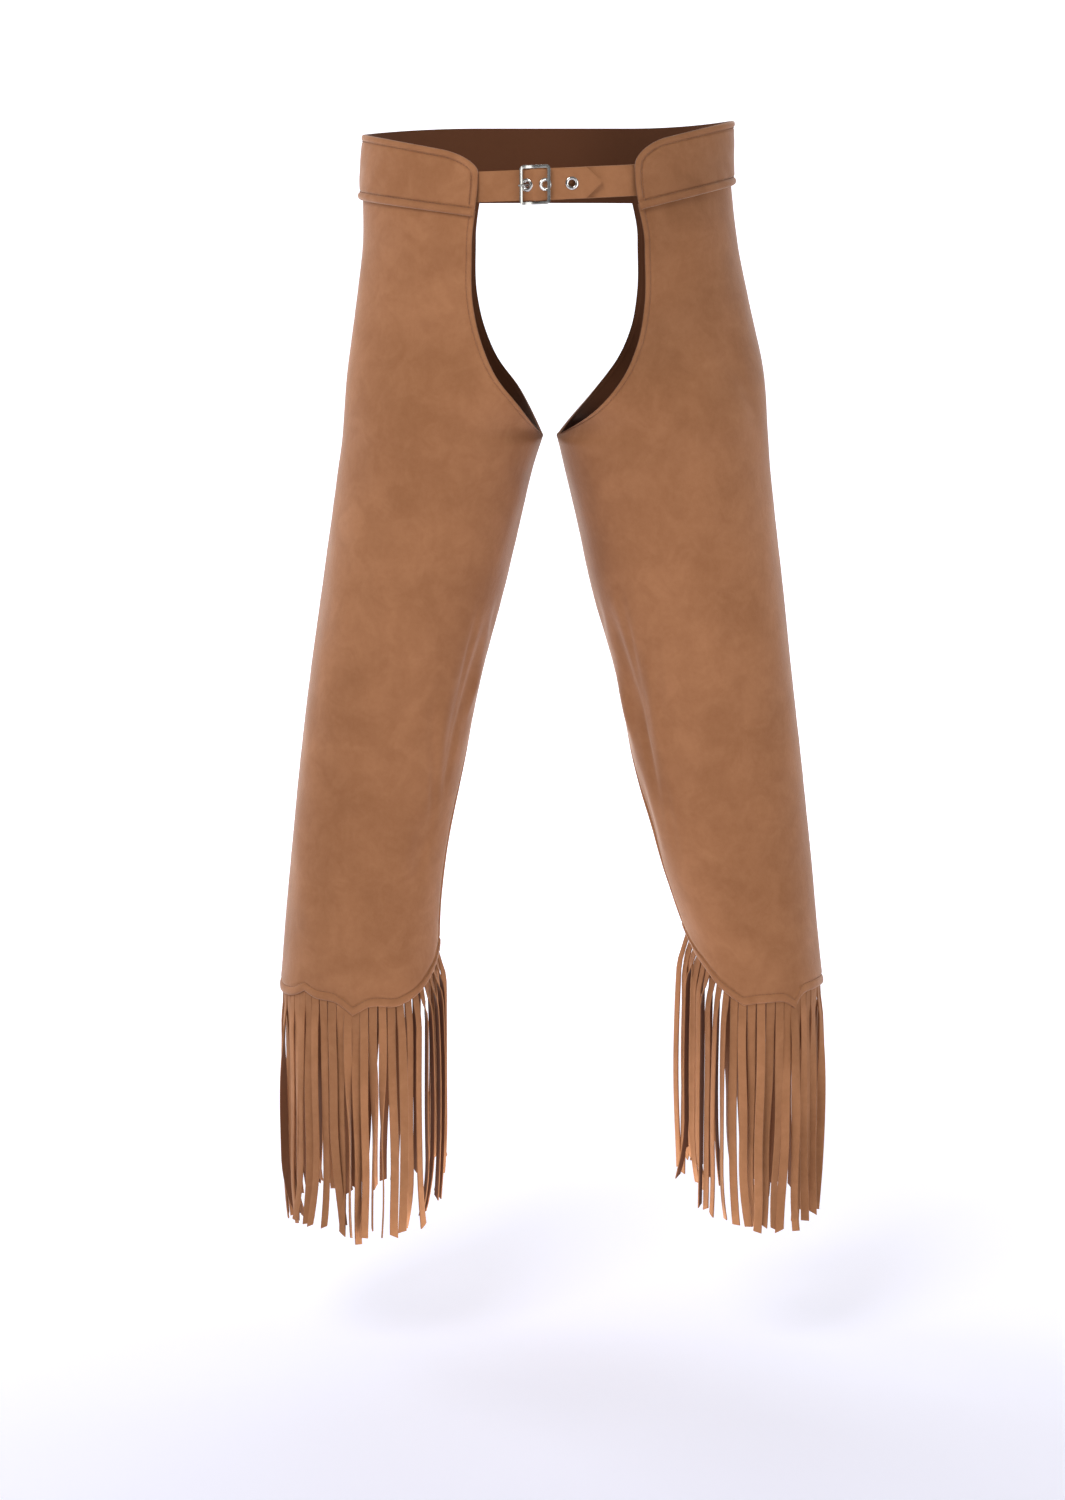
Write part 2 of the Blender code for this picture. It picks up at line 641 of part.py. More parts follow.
def make_point_strap(collection, cutters, material):
    """Make the strap with the point and the eyelet holes."""
    places = band_places(POINT_BAND)
    grid = []
    for along in places:
        half = BELT_WIDTH / 2
        if along > TIP_START:
            half -= (half - TIP_BLUNT) * (along - TIP_START) / (TIP_END - TIP_START)
        out = read_curve(POINT_BAND, along)
        grid.append([belt_point(along, out, -half), belt_point(along, out), belt_point(along, out, half)])
    mesh = grid_mesh("strap_point", grid, lambda point: Vector((0, -1, 0)))
    piece = add_object("strap_point", mesh, collection, material)
    thicken(piece, STRAP_WALL, 0)
    for number, along in enumerate(EYELET_PLACES, 1):
        bpy.ops.mesh.primitive_cylinder_add(
            radius=HOLE_RADIUS, depth=BELT_WIDTH / 2, vertices=EYELET_STEPS,
            location=belt_point(along, read_curve(POINT_BAND, along)),
            rotation=(math.pi / 2, 0, band_slope(POINT_BAND, along)),
        )
        cutter = bpy.context.object
        cutter.name = f"hole_{number}"
        hide_cutter(cutter, cutters)
        cut(piece, cutter)


def make_buckle_strap(collection, cutters, material):
    """Make the strap that folds round the buckle's bar, with the slot for the prong."""
    path = [(along, read_curve(BUCKLE_BAND, along)) for along in band_places(BUCKLE_BAND)]
    for step in range(LOOP_STEPS + 1):
        turn = -math.pi / 2 - math.pi * step / LOOP_STEPS
        path.append((BAR_PLACE + LOOP_RADIUS * math.cos(turn), BAR_STAND + LOOP_RADIUS * math.sin(turn)))
    path += [(along, read_curve(FOLD_BACK, along)) for along in band_places(FOLD_BACK)]
    half = BELT_WIDTH / 2
    grid = [[belt_point(along, out, -half), belt_point(along, out, half)] for along, out in path]
    mesh = grid_mesh("strap_buckle", grid, lambda point: Vector((0, 1, 0)))
    piece = add_object("strap_buckle", mesh, collection, material)
    thicken(piece, STRAP_WALL, 0)
    slot = make_cutter("slot", belt_point(BAR_PLACE - LOOP_RADIUS, BAR_STAND),
                       (2 * LOOP_RADIUS - WIRE, SLOT_DEPTH, SLOT_HEIGHT), cutters)
    cut(piece, slot)


def make_wire(name, points, radius, closed, collection, material):
    """Make a wire through points, as a mesh with its caps welded."""
    curve = bpy.data.curves.new(name, "CURVE")
    curve.dimensions = "3D"
    curve.bevel_depth = radius
    curve.bevel_resolution = WIRE_ROUNDNESS
    curve.use_fill_caps = not closed
    spline = curve.splines.new("POLY")
    spline.points.add(len(points) - 1)
    for spot, point in zip(spline.points, points):
        spot.co = (*point, 1)
    spline.use_cyclic_u = closed
    guide = bpy.data.objects.new(name, curve)
    collection.objects.link(guide)
    bpy.context.view_layer.update()
    mesh = bpy.data.meshes.new_from_object(guide.evaluated_get(bpy.context.evaluated_depsgraph_get()))
    bpy.data.objects.remove(guide, do_unlink=True)
    built = bmesh.new()
    built.from_mesh(mesh)
    bmesh.ops.remove_doubles(built, verts=built.verts, dist=MERGE)
    bmesh.ops.recalc_face_normals(built, faces=built.faces[:])
    built.to_mesh(mesh)
    built.free()
    mesh.materials.clear()
    mesh.name = name
    piece = add_object(name, mesh, collection, material)
    mesh.shade_smooth()
    return piece


def frame_point(along, up):
    """Return a point of the buckle's frame, which bows in towards its middle bar."""
    half = (FRAME_RIGHT - FRAME_LEFT) / 2
    bow = FRAME_BOW * (1 - min(1.0, abs(along - BAR_PLACE) / half) ** 2)
    return belt_point(along, FRAME_STAND - bow, up)


def make_buckle(collection, material):
    """Make the buckle's frame, its bar and its prong."""
    half = FRAME_HEIGHT / 2
    points = []
    corners = ((FRAME_LEFT, -half, 1, 1), (FRAME_RIGHT, -half, -1, 1),
               (FRAME_RIGHT, half, -1, -1), (FRAME_LEFT, half, 1, -1))
    starts = (math.pi, -math.pi / 2, 0.0, math.pi / 2)
    for (along, up, inward, upward), start in zip(corners, starts):
        centre = (along + inward * FRAME_CORNER, up + upward * FRAME_CORNER)
        for step in range(CORNER_STEPS + 1):
            turn = start + math.pi / 2 * step / CORNER_STEPS
            points.append((centre[0] + FRAME_CORNER * math.cos(turn),
                           centre[1] + FRAME_CORNER * math.sin(turn)))
    outline = []
    for (a, b) in zip(points, points[1:] + points[:1]):
        outline.append(a)
        if abs(b[0] - a[0]) > FRAME_CORNER:
            outline += [
                (a[0] + (b[0] - a[0]) * step / SIDE_STEPS, a[1] + (b[1] - a[1]) * step / SIDE_STEPS)
                for step in range(1, SIDE_STEPS)
            ]
    make_wire("buckle_frame", [frame_point(*spot) for spot in outline], WIRE, True, collection, material)

    bar_half = half - WIRE - GAP
    bar = [belt_point(BAR_PLACE, BAR_STAND, bar_half * share) for share in (-1, 1)]
    make_wire("buckle_bar", bar, WIRE, False, collection, material)

    prong = [belt_point(stand.along, stand.out) for stand in PRONG_ROUTE]
    make_wire("buckle_prong", prong, PRONG, False, collection, material)


def make_eyelet(number, along, collection, material):
    """Make an eyelet: a barrel through the strap with a lip in front, turned round its bore."""
    reach = STRAP_WALL / 2 + EYELET_STAND
    back = -STRAP_WALL / 2
    profile = ((EYELET_BARREL, reach), (EYELET_RADIUS, reach), (EYELET_RADIUS - EYELET_LIP, reach + EYELET_LIP),
               (EYELET_BORE, reach + EYELET_LIP), (EYELET_BORE, back), (EYELET_BARREL, back))
    name = f"eyelet_{number}"
    mesh = bpy.data.meshes.new(name)
    built = bmesh.new()
    verts = [built.verts.new((radius, 0, height)) for radius, height in profile]
    for a, b in zip(verts, verts[-1:] + verts[:-1]):
        built.edges.new((a, b))
    built.to_mesh(mesh)
    built.free()
    piece = add_object(name, mesh, collection, material)
    piece.location = belt_point(along, read_curve(POINT_BAND, along))
    piece.rotation_euler = (math.pi / 2, 0, band_slope(POINT_BAND, along))
    spin = piece.modifiers.new("Turn", "SCREW")
    spin.axis = "Z"
    spin.steps = EYELET_STEPS
    spin.render_steps = EYELET_STEPS
    spin.use_merge_vertices = True
    spin.merge_threshold = MERGE


def main():
    clear_scene()
    chaps = collection_of("chaps")
    cutters = collection_of("cutters")
    suede = finish_of("suede", SUEDE, roughness=0.95)
    strand_suede = finish_of("strand_suede", DARK_SUEDE, roughness=0.95)
    silver = finish_of("silver", SILVER, roughness=0.25, metallic=1.0)
    for side in SIDES:
        make_yoke(side, chaps, suede)
        for face in FACES:
            make_leg_panel(side, face, chaps, suede)
            make_fringe(side, face, chaps, strand_suede)
    make_point_strap(chaps, cutters, suede)
    make_buckle_strap(chaps, cutters, suede)
    make_buckle(chaps, silver)
    for number, along in enumerate(EYELET_PLACES, 1):
        make_eyelet(number, along, chaps, silver)


main()
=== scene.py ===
"""Dresses the fringed suede chaps: cloth shells, stitching, cut strands, belt straps and a polished buckle.

Metres, +Z up, the wearer faces -Y. The forms repeat the rings of the part's source: a ring is a rounded
oval round a leg, its side seam is at a turn of 0, and a panel runs from there round to its inner edge.
"""

import logging
import math
import random
from dataclasses import dataclass
from enum import Enum
from typing import Callable, Sequence

import bmesh
import bpy
import numpy as np
from mathutils import Matrix, Vector


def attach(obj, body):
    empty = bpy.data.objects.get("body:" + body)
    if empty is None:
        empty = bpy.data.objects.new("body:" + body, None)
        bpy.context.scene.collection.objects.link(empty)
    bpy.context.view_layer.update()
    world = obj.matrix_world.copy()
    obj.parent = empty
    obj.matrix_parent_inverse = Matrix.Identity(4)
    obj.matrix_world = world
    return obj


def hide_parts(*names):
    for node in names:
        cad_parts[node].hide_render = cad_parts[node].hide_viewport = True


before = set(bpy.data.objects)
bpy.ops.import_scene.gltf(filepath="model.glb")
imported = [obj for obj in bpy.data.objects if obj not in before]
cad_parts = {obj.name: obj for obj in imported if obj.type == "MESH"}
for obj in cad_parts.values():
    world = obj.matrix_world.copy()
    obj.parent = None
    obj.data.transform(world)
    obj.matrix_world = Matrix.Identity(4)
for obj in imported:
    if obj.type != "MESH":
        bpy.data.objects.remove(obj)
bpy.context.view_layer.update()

LOG = logging.getLogger("chaps")
Span = tuple[float, float]
Spot = tuple[float, float, float]
Rows = tuple[Span, ...]
Values = np.ndarray | float
Line = tuple[np.ndarray, np.ndarray]
NodeValues = dict[str | int, object]

LEG_WALL = 0.0018
YOKE_WALL = 0.0022
STRAP_WALL = 0.0015
STRAND_WALL = 0.0012
GAP = 0.0003
FORK_TOP = -0.120
CROTCH = -0.2145
KNEE = -0.445
KNEE_OPENING = 0.120
FRONT_PART = math.radians(14)
BACK_PART = math.radians(30)
OVAL = 2.2
FLOOR_HEIGHT = -1.030
RIM_ANGLE = math.radians(55)
CUT_ANGLE = math.radians(50)
WIRE_ANGLE = math.radians(60)
HOLE_ANGLE = math.radians(40)
NEAR = 1e-5
SAME = 1e-6
TINY = 1e-9
FIRST_FRINGE_SEED = 5


class Side(Enum):
    """The wearer's side that a piece belongs to."""

    RIGHT = "right"
    LEFT = "left"

    @property
    def sign(self) -> int:
        """The direction of this side along X."""
        return -1 if self is Side.RIGHT else 1


class Face(Enum):
    """The front or the back of the garment."""

    FRONT = "front"
    BACK = "back"

    @property
    def sign(self) -> int:
        """The direction of this face along Y."""
        return -1 if self is Face.FRONT else 1


OUTER: dict[Side, Rows] = {
    Side.RIGHT: ((0.05, 0.1560), (0.0, 0.1596), (-0.05, 0.1597), (-0.10, 0.1657), (-0.16, 0.1740),
                 (-0.216, 0.1787), (-0.28, 0.1880), (-0.35, 0.1984), (-0.42, 0.2086), (-0.50, 0.2187),
                 (-0.58, 0.2272), (-0.66, 0.2350), (-0.72, 0.2400)),
    Side.LEFT: ((0.05, 0.1535), (0.0, 0.1543), (-0.05, 0.1600), (-0.10, 0.1705), (-0.16, 0.1836),
                (-0.216, 0.1876), (-0.28, 0.1944), (-0.35, 0.2031), (-0.42, 0.2110), (-0.50, 0.2207),
                (-0.58, 0.2298), (-0.66, 0.2380), (-0.72, 0.2450)),
}
OPENING: dict[Side, Rows] = {
    Side.RIGHT: ((0.05, 0.0595), (0.0, 0.0600), (-0.05, 0.0656), (-0.10, 0.0645), (-0.13, 0.0575),
                 (-0.16, 0.0435), (-0.18, 0.0275), (CROTCH, 0.0060)),
    Side.LEFT: ((0.05, 0.0690), (0.0, 0.0700), (-0.05, 0.0785), (-0.10, 0.0783), (-0.13, 0.0728),
                (-0.16, 0.0590), (-0.18, 0.0430), (CROTCH, 0.0060)),
}
INSEAM: dict[Side, Rows] = {
    Side.RIGHT: ((CROTCH, 0.0060), (-0.245, 0.0154), (-0.28, 0.0235), (-0.35, 0.0400), (-0.42, 0.0585),
                 (-0.50, 0.0748), (-0.58, 0.0904), (-0.62, 0.0950), (-0.72, 0.0960)),
    Side.LEFT: ((CROTCH, 0.0060), (-0.245, 0.0131), (-0.28, 0.0215), (-0.35, 0.0370), (-0.42, 0.0570),
                (-0.50, 0.0735), (-0.58, 0.0957), (-0.62, 0.1090), (-0.66, 0.1220), (-0.72, 0.1260)),
}
DEPTH: dict[Face, Rows] = {
    Face.FRONT: ((0.05, 0.098), (0.0, 0.102), (-0.05, 0.105), (-0.15, 0.105), (-0.25, 0.100),
                 (-0.35, 0.093), (-0.42, 0.086), (-0.50, 0.080), (-0.58, 0.078), (-0.72, 0.077)),
    Face.BACK: ((0.05, 0.098), (0.0, 0.106), (-0.05, 0.118), (-0.10, 0.126), (-0.15, 0.126),
                (-0.20, 0.118), (-0.25, 0.108), (-0.35, 0.094), (-0.42, 0.084), (-0.50, 0.082),
                (-0.60, 0.087), (-0.72, 0.085)),
}

# Hem outlines, as smooth stretches that meet at a notch and at a point:
# height at a share of the way from the side seam to the inner edge
HEMS: dict[tuple[Side, Face], tuple[Rows, ...]] = {
    (Side.RIGHT, Face.FRONT): (
        ((0.0, -0.7030), (0.13, -0.7025), (0.24, -0.6985), (0.30, -0.6929)),
        ((0.30, -0.6929), (0.36, -0.6975), (0.47, -0.7015), (0.527, -0.7113)),
        ((0.527, -0.7113), (0.56, -0.7058), (0.70, -0.7046), (0.79, -0.6985), (0.88, -0.6875),
         (0.94, -0.6780), (1.0, -0.6640)),
    ),
    (Side.LEFT, Face.FRONT): (
        ((0.0, -0.7000), (0.12, -0.6955), (0.25, -0.6941), (0.34, -0.6990), (0.372, -0.7068)),
        ((0.372, -0.7068), (0.42, -0.7008), (0.52, -0.6998), (0.62, -0.7026)),
        ((0.62, -0.7026), (0.69, -0.6955), (0.76, -0.6876), (0.845, -0.6751), (0.94, -0.6629),
         (1.0, -0.6500)),
    ),
    (Side.RIGHT, Face.BACK): (
        ((0.0, -0.7030), (0.15, -0.7025), (0.28, -0.6935)),
        ((0.28, -0.6935), (0.42, -0.7020), (0.50, -0.7110)),
        ((0.50, -0.7110), (0.58, -0.7045), (0.72, -0.7020), (0.86, -0.6890), (1.0, -0.6650)),
    ),
    (Side.LEFT, Face.BACK): (
        ((0.0, -0.7000), (0.14, -0.7015), (0.26, -0.6930)),
        ((0.26, -0.6930), (0.40, -0.7015), (0.48, -0.7105)),
        ((0.48, -0.7105), (0.56, -0.7040), (0.72, -0.7015), (0.86, -0.6880), (1.0, -0.6620)),
    ),
}


@dataclass(frozen=True)
class Crease:
    """A soft trough that runs down a panel, with its turns and width in degrees.

    A trough with a ridge has a low rise of cloth on both sides. Drift is how far it turns on its way down.
    """

    turn: float
    top: float
    bottom: float
    width: float
    depth: float
    drift: float = 0.0
    ridge: float = 0.0


# The first creases of each panel are the ones that its solid has too
CREASES: dict[tuple[Side, Face], tuple[Crease, ...]] = {
    (Side.RIGHT, Face.FRONT): (
        Crease(151, -0.35, -0.50, 7, 0.0035), Crease(128, -0.52, -0.62, 8, 0.0025),
        Crease(129, -0.36, -0.55, 5.5, -0.0016, 5), Crease(141, -0.37, -0.55, 6.0, 0.0022, 4),
        Crease(160, -0.40, -0.47, 5.0, -0.0020, -14), Crease(165, -0.345, -0.40, 4.5, 0.0016, 12),
        Crease(139, -0.33, -0.455, 4.0, 0.0016, 9, 0.7), Crease(146, -0.40, -0.535, 3.5, 0.0014, -7, 0.7),
        Crease(120, -0.41, -0.50, 5.0, 0.0010, 12, 0.6), Crease(133, -0.545, -0.60, 3.5, 0.0011, -6, 0.6),
        Crease(60, -0.24, -0.40, 9.0, 0.0010, -14, 0.5), Crease(104, -0.10, -0.20, 7.0, 0.0009, 16, 0.5),
        Crease(130, -0.445, -0.570, 5.0, 0.0024, 18, 0.8),
    ),
    (Side.LEFT, Face.FRONT): (
        Crease(149, -0.33, -0.51, 7, 0.0040), Crease(160, -0.49, -0.60, 6, 0.0025),
        Crease(128, -0.35, -0.58, 5.5, -0.0018, 6), Crease(140, -0.36, -0.57, 6.0, 0.0026, 5),
        Crease(163, -0.40, -0.49, 6.0, -0.0028, -12), Crease(168, -0.34, -0.40, 5.0, 0.0018, 12),
        Crease(136, -0.32, -0.44, 4.0, 0.0018, 10, 0.7), Crease(143, -0.40, -0.53, 3.5, 0.0016, -8, 0.7),
        Crease(123, -0.38, -0.48, 5.0, 0.0012, 11, 0.6), Crease(131, -0.47, -0.585, 4.0, 0.0012, 8, 0.6),
        Crease(66, -0.30, -0.47, 9.0, 0.0011, 12, 0.5), Crease(98, -0.09, -0.19, 7.0, 0.0009, 15, 0.5),
        Crease(35, -0.12, -0.22, 6.0, 0.0008, -9, 0.5),
    ),
    (Side.RIGHT, Face.BACK): (
        Crease(140, -0.36, -0.47, 9, 0.0045), Crease(75, -0.40, -0.55, 10, 0.0030),
        Crease(122, -0.38, -0.45, 5.0, 0.0018, 14, 0.7), Crease(105, -0.40, -0.475, 5.0, 0.0015, -12, 0.7),
        Crease(92, -0.22, -0.34, 8.0, 0.0016, 12, 0.6), Crease(126, -0.24, -0.33, 6.0, 0.0014, -10, 0.6),
        Crease(55, -0.43, -0.53, 6.0, 0.0012, 10, 0.5),
    ),
    (Side.LEFT, Face.BACK): (
        Crease(138, -0.35, -0.48, 9, 0.0045), Crease(70, -0.38, -0.52, 10, 0.0030),
        Crease(119, -0.37, -0.46, 5.0, 0.0018, 13, 0.7), Crease(102, -0.41, -0.49, 5.0, 0.0015, -11, 0.7),
        Crease(88, -0.21, -0.35, 8.0, 0.0016, 14, 0.6), Crease(123, -0.25, -0.34, 6.0, 0.0014, -12, 0.6),
        Crease(50, -0.42, -0.52, 6.0, 0.0012, 9, 0.5),
    ),
}


def eased(share: Values) -> np.ndarray:
    """Return a smooth step from 0 to 1."""
    share = np.clip(share, 0.0, 1.0)
    return share * share * (3 - 2 * share)


def ease(share: float) -> float:
    """Return a smooth step from 0 to 1 for one number."""
    return float(eased(share))


def bell(distance: Values, width: float) -> Values:
    """Return a weight that is 1 at no distance and falls off as a bell curve."""
    return np.exp(-((distance / width) ** 2))


def signed_power(value: np.ndarray, power: float) -> np.ndarray:
    """Return the power of a value's size, with the value's sign."""
    return np.sign(value) * np.abs(value) ** power


def read_curve(rows: Rows, at: Values) -> np.ndarray:
    """Read a smooth curve through a table's rows, with no overshoot.

    Args:
        rows: Pairs of a place and its value, in any order.
        at: The places to read.

    Returns:
        The curve's values at those places, straight on past its ends.
    """
    at = np.asarray(at, float)
    places, values = np.array(sorted(rows)).T
    steps = np.diff(places)
    rates = np.diff(values) / steps
    slopes = np.concatenate([rates[:1], np.zeros(len(rates) - 1), rates[-1:]])
    blended = (rates[:-1] * steps[1:] + rates[1:] * steps[:-1]) / (steps[:-1] + steps[1:])
    slopes[1:-1] = np.where(rates[:-1] * rates[1:] <= 0, 0.0, blended)
    k = np.clip(np.searchsorted(places, at) - 1, 0, len(steps) - 1)
    t = (at - places[k]) / steps[k]
    inside = (2 * t**3 - 3 * t**2 + 1) * values[k] + (t**3 - 2 * t**2 + t) * steps[k] * slopes[k]
    inside += (3 * t**2 - 2 * t**3) * values[k + 1] + (t**3 - t**2) * steps[k] * slopes[k + 1]
    low = values[0] + rates[0] * (at - places[0])
    high = values[-1] + rates[-1] * (at - places[-1])
    return np.where(at <= places[0], low, np.where(at >= places[-1], high, inside))


def lengths_along(points: np.ndarray) -> np.ndarray:
    """Return the length run at each point of a line of points."""
    return np.concatenate([[0.0], np.cumsum(np.linalg.norm(np.diff(points, axis=0), axis=1))])


def read_line(at: float, run: np.ndarray, points: np.ndarray) -> np.ndarray:
    """Return the point of a line at a length along it, from the lengths run at its points."""
    return np.array([np.interp(at, run, points[:, axis]) for axis in range(3)])


def undulation(points: np.ndarray, wavelength: float, seed: int) -> np.ndarray:
    """Return a soft uneven swell between about -1 and 1 over points in space.

    Args:
        points: Points, with their coordinates on the last axis.
        wavelength: The usual distance between two crests, in metres.
        seed: Which of the swells to use.

    Returns:
        The swell at each point.
    """
    draws = np.random.default_rng(seed)
    waves = 7
    total = np.zeros(points.shape[:-1])
    for _ in range(waves):
        way = draws.normal(size=3)
        way /= np.linalg.norm(way)
        reach = 2 * math.pi / (wavelength * draws.uniform(0.75, 1.5))
        total += np.sin(points @ way * reach + draws.uniform(0, 2 * math.pi))
    return total / math.sqrt(waves * 2)


@dataclass(frozen=True)
class Swell:
    """A soft uneven swell of cloth: its height, its usual wavelength and its seed."""

    height: float
    wavelength: float
    seed: int

    def at(self, points: np.ndarray) -> np.ndarray:
        """Return how far the swell stands out at points in space."""
        return self.height * undulation(points, self.wavelength, self.seed)


@dataclass(frozen=True)
class Dip:
    """A soft groove along a seam: its depth and its width."""

    depth: float
    width: float

    def at(self, distance: np.ndarray) -> np.ndarray:
        """Return how far the cloth stands out at distances from the seam, which is below 0."""
        return -self.depth * bell(distance, self.width)


@dataclass(frozen=True)
class EdgeBand:
    """A turned and topstitched edge: how far in its stitch line lies, and its relief."""

    line: float = 0.0075
    puff: float = 0.0007
    groove: float = 0.0008
    lip: float = 0.0006
    fullness: float = 0.7
    groove_width: float = 0.0010
    lip_width: float = 0.0007

    def relief(self, distance: np.ndarray) -> np.ndarray:
        """Return how far the cloth stands out at distances from its edge."""
        share = np.clip(distance / self.line, 0, 1)
        swell = self.puff * np.sin(math.pi * share) ** self.fullness
        groove = self.groove * bell(distance - self.line, self.groove_width)
        return swell - groove - self.lip * bell(distance, self.lip_width)


@dataclass(frozen=True)
class LegForm:
    """The rings of one leg, in the same sizes as the part's source."""

    side: Side

    def ring(self, height: np.ndarray) -> tuple[np.ndarray, np.ndarray, np.ndarray]:
        """Return the rings' middles and half widths, and where across them the front edge lies."""
        outer = read_curve(OUTER[self.side], height)
        edge = read_curve(OPENING[self.side], height)
        fork = eased((FORK_TOP - height) / (FORK_TOP - CROTCH))
        middle = fork * (outer + edge) / 2
        share = (edge - middle) / (outer - middle)
        inseam = read_curve(INSEAM[self.side], height)
        part = FRONT_PART * eased((KNEE - height) / KNEE_OPENING)
        low_share = -np.cos(part) ** (2 / OVAL)
        low_half = (outer - inseam) / (1 - low_share)
        above = height > CROTCH
        return (
            np.where(above, middle, outer - low_half),
            np.where(above, outer - middle, low_half),
            np.where(above, share, low_share),
        )

    def edge_turn(self, face: Face, height: np.ndarray) -> np.ndarray:
        """Return the turn of a panel's inner edge at heights."""
        height = np.asarray(height, float)
        share = np.clip(self.ring(height)[2], -1.0, 1.0)
        turn = np.arccos(signed_power(share, OVAL / 2))
        if face is Face.BACK:
            parted = math.pi - BACK_PART * eased((KNEE - height) / KNEE_OPENING)
            turn = np.where(height < CROTCH, parted, turn)
        return turn

    def depth(self, face: Face, height: np.ndarray) -> np.ndarray:
        """Return how deep the rings are on one face."""
        return read_curve(DEPTH[face], height)

    def outward(self, face: Face, turn: np.ndarray, height: np.ndarray) -> np.ndarray:
        """Return the level directions that point out of the rings."""
        half = self.ring(height)[1]
        across = signed_power(np.cos(turn), 2 - 2 / OVAL) / half * self.side.sign
        deep = np.abs(np.sin(turn)) ** (2 - 2 / OVAL) / self.depth(face, height) * face.sign
        way = np.stack([across, deep, np.zeros_like(across)], axis=-1)
        return way / np.linalg.norm(way, axis=-1, keepdims=True)

    def pressed(self, face: Face, turn: np.ndarray, height: np.ndarray) -> np.ndarray:
        """Return how far the creases press the cloth in."""
        total = np.zeros(np.broadcast(turn, height).shape)
        for crease in CREASES[self.side, face]:
            along = np.clip((crease.top - height) / (crease.top - crease.bottom), 0, 1)
            centre = crease.turn + crease.drift * (along - 0.5)
            aside = (np.degrees(turn) - centre) / crease.width
            trough = np.exp(-aside * aside) * (1 - crease.ridge * aside * aside)
            total += crease.depth * np.sin(math.pi * along) ** 2 * trough
        return total

    def point(self, face: Face, turn: np.ndarray, height: np.ndarray, lift: Values = 0.0) -> np.ndarray:
        """Find points of the rings.

        Args:
            face: The front or the back half of the rings.
            turn: The turns from the side seam.
            height: The heights.
            lift: How far out of the rings the points lie.

        Returns:
            The points, with their coordinates on the last axis.
        """
        turn, height = np.broadcast_arrays(np.asarray(turn, float), np.asarray(height, float))
        middle, half, _ = self.ring(height)
        x = middle + half * signed_power(np.cos(turn), 2 / OVAL)
        y = self.depth(face, height) * np.abs(np.sin(turn)) ** (2 / OVAL)
        flat = np.stack([self.side.sign * x, face.sign * y, height], axis=-1)
        stand = np.asarray(lift) - self.pressed(face, turn, height)
        return flat + stand[..., None] * self.outward(face, turn, height)

    def panel_turn(self, face: Face, across: np.ndarray, height: np.ndarray) -> np.ndarray:
        """Return the turns at shares of a panel's width, from the side seam to its inner edge."""
        return across * self.edge_turn(face, height)


@dataclass(frozen=True)
class YokeCut:
    """The outline of a hip yoke: edge heights at the side, the front end and the back, and its corner."""

    low_side: float
    low_front: float
    low_back: float
    top_side: float
    top_front: float
    top_back: float
    corner_wide: float
    corner_tall: float
    girth: float = 0.18
    arc: float = 2.0
    fall: float = 1.9

    def low(self, face: Face, across: np.ndarray) -> np.ndarray:
        """Return the heights of the lower edge."""
        end = self.low_front if face is Face.FRONT else self.low_back
        return self.low_side + (end - self.low_side) * across**self.fall

    def top(self, face: Face, across: np.ndarray) -> np.ndarray:
        """Return the heights of the upper edge, which rounds down to the front end."""
        if face is Face.BACK:
            return self.top_side + (self.top_back - self.top_side) * eased(across)
        level = self.top_side + (self.top_front - self.top_side) * across**self.arc
        into = np.clip(1 - (1 - across) * self.girth / self.corner_wide, 0, 1)
        return level - self.corner_tall * (1 - np.sqrt(1 - into * into))


YOKES = {
    Side.RIGHT: YokeCut(-0.0135, -0.0255, -0.0190, 0.0410, 0.0235, 0.0460, 0.032, 0.0135),
    Side.LEFT: YokeCut(-0.0010, -0.0200, -0.0190, 0.0525, 0.0325, 0.0460, 0.032, 0.0165),
}


def new_piece(name: str, mesh: bpy.types.Mesh, material: bpy.types.Material) -> bpy.types.Object:
    """Put a mesh into the scene as a piece with one material."""
    mesh.materials.clear()
    mesh.materials.append(material)
    piece = bpy.data.objects.new(name, mesh)
    bpy.context.scene.collection.objects.link(piece)
    return piece


def only(piece: bpy.types.Object) -> None:
    """Deselect everything and make one piece the active one."""
    if bpy.context.object and bpy.context.object.mode != "OBJECT":
        bpy.ops.object.mode_set(mode="OBJECT")
    for other in bpy.context.selected_objects:
        other.select_set(False)
    piece.select_set(True)
    bpy.context.view_layer.objects.active = piece


def smooth_faces(mesh: bpy.types.Mesh) -> None:
    """Mark every face of a mesh as smooth."""
    mesh.polygons.foreach_set("use_smooth", np.ones(len(mesh.polygons), bool))
    mesh.update()


def shade_smooth(piece: bpy.types.Object, angle: float) -> None:
    """Shade a piece smooth but for edges sharper than an angle."""
    only(piece)
    bpy.ops.object.shade_smooth_by_angle(angle=angle)


def grid_quads(rows: int, columns: int) -> np.ndarray:
    """Return the quads that join a grid's points, which are numbered row by row."""
    index = np.arange(rows * columns).reshape(rows, columns)
    quads = np.stack([index[:-1, :-1], index[1:, :-1], index[1:, 1:], index[:-1, 1:]], axis=-1)
    return quads.reshape(-1, 4)


def grid_mesh(name: str, grid: np.ndarray) -> bpy.types.Mesh:
    """Make a mesh of quads through a grid of points."""
    mesh = bpy.data.meshes.new(name)
    mesh.from_pydata(grid.reshape(-1, 3).tolist(), [], grid_quads(*grid.shape[:2]).tolist())
    smooth_faces(mesh)
    return mesh


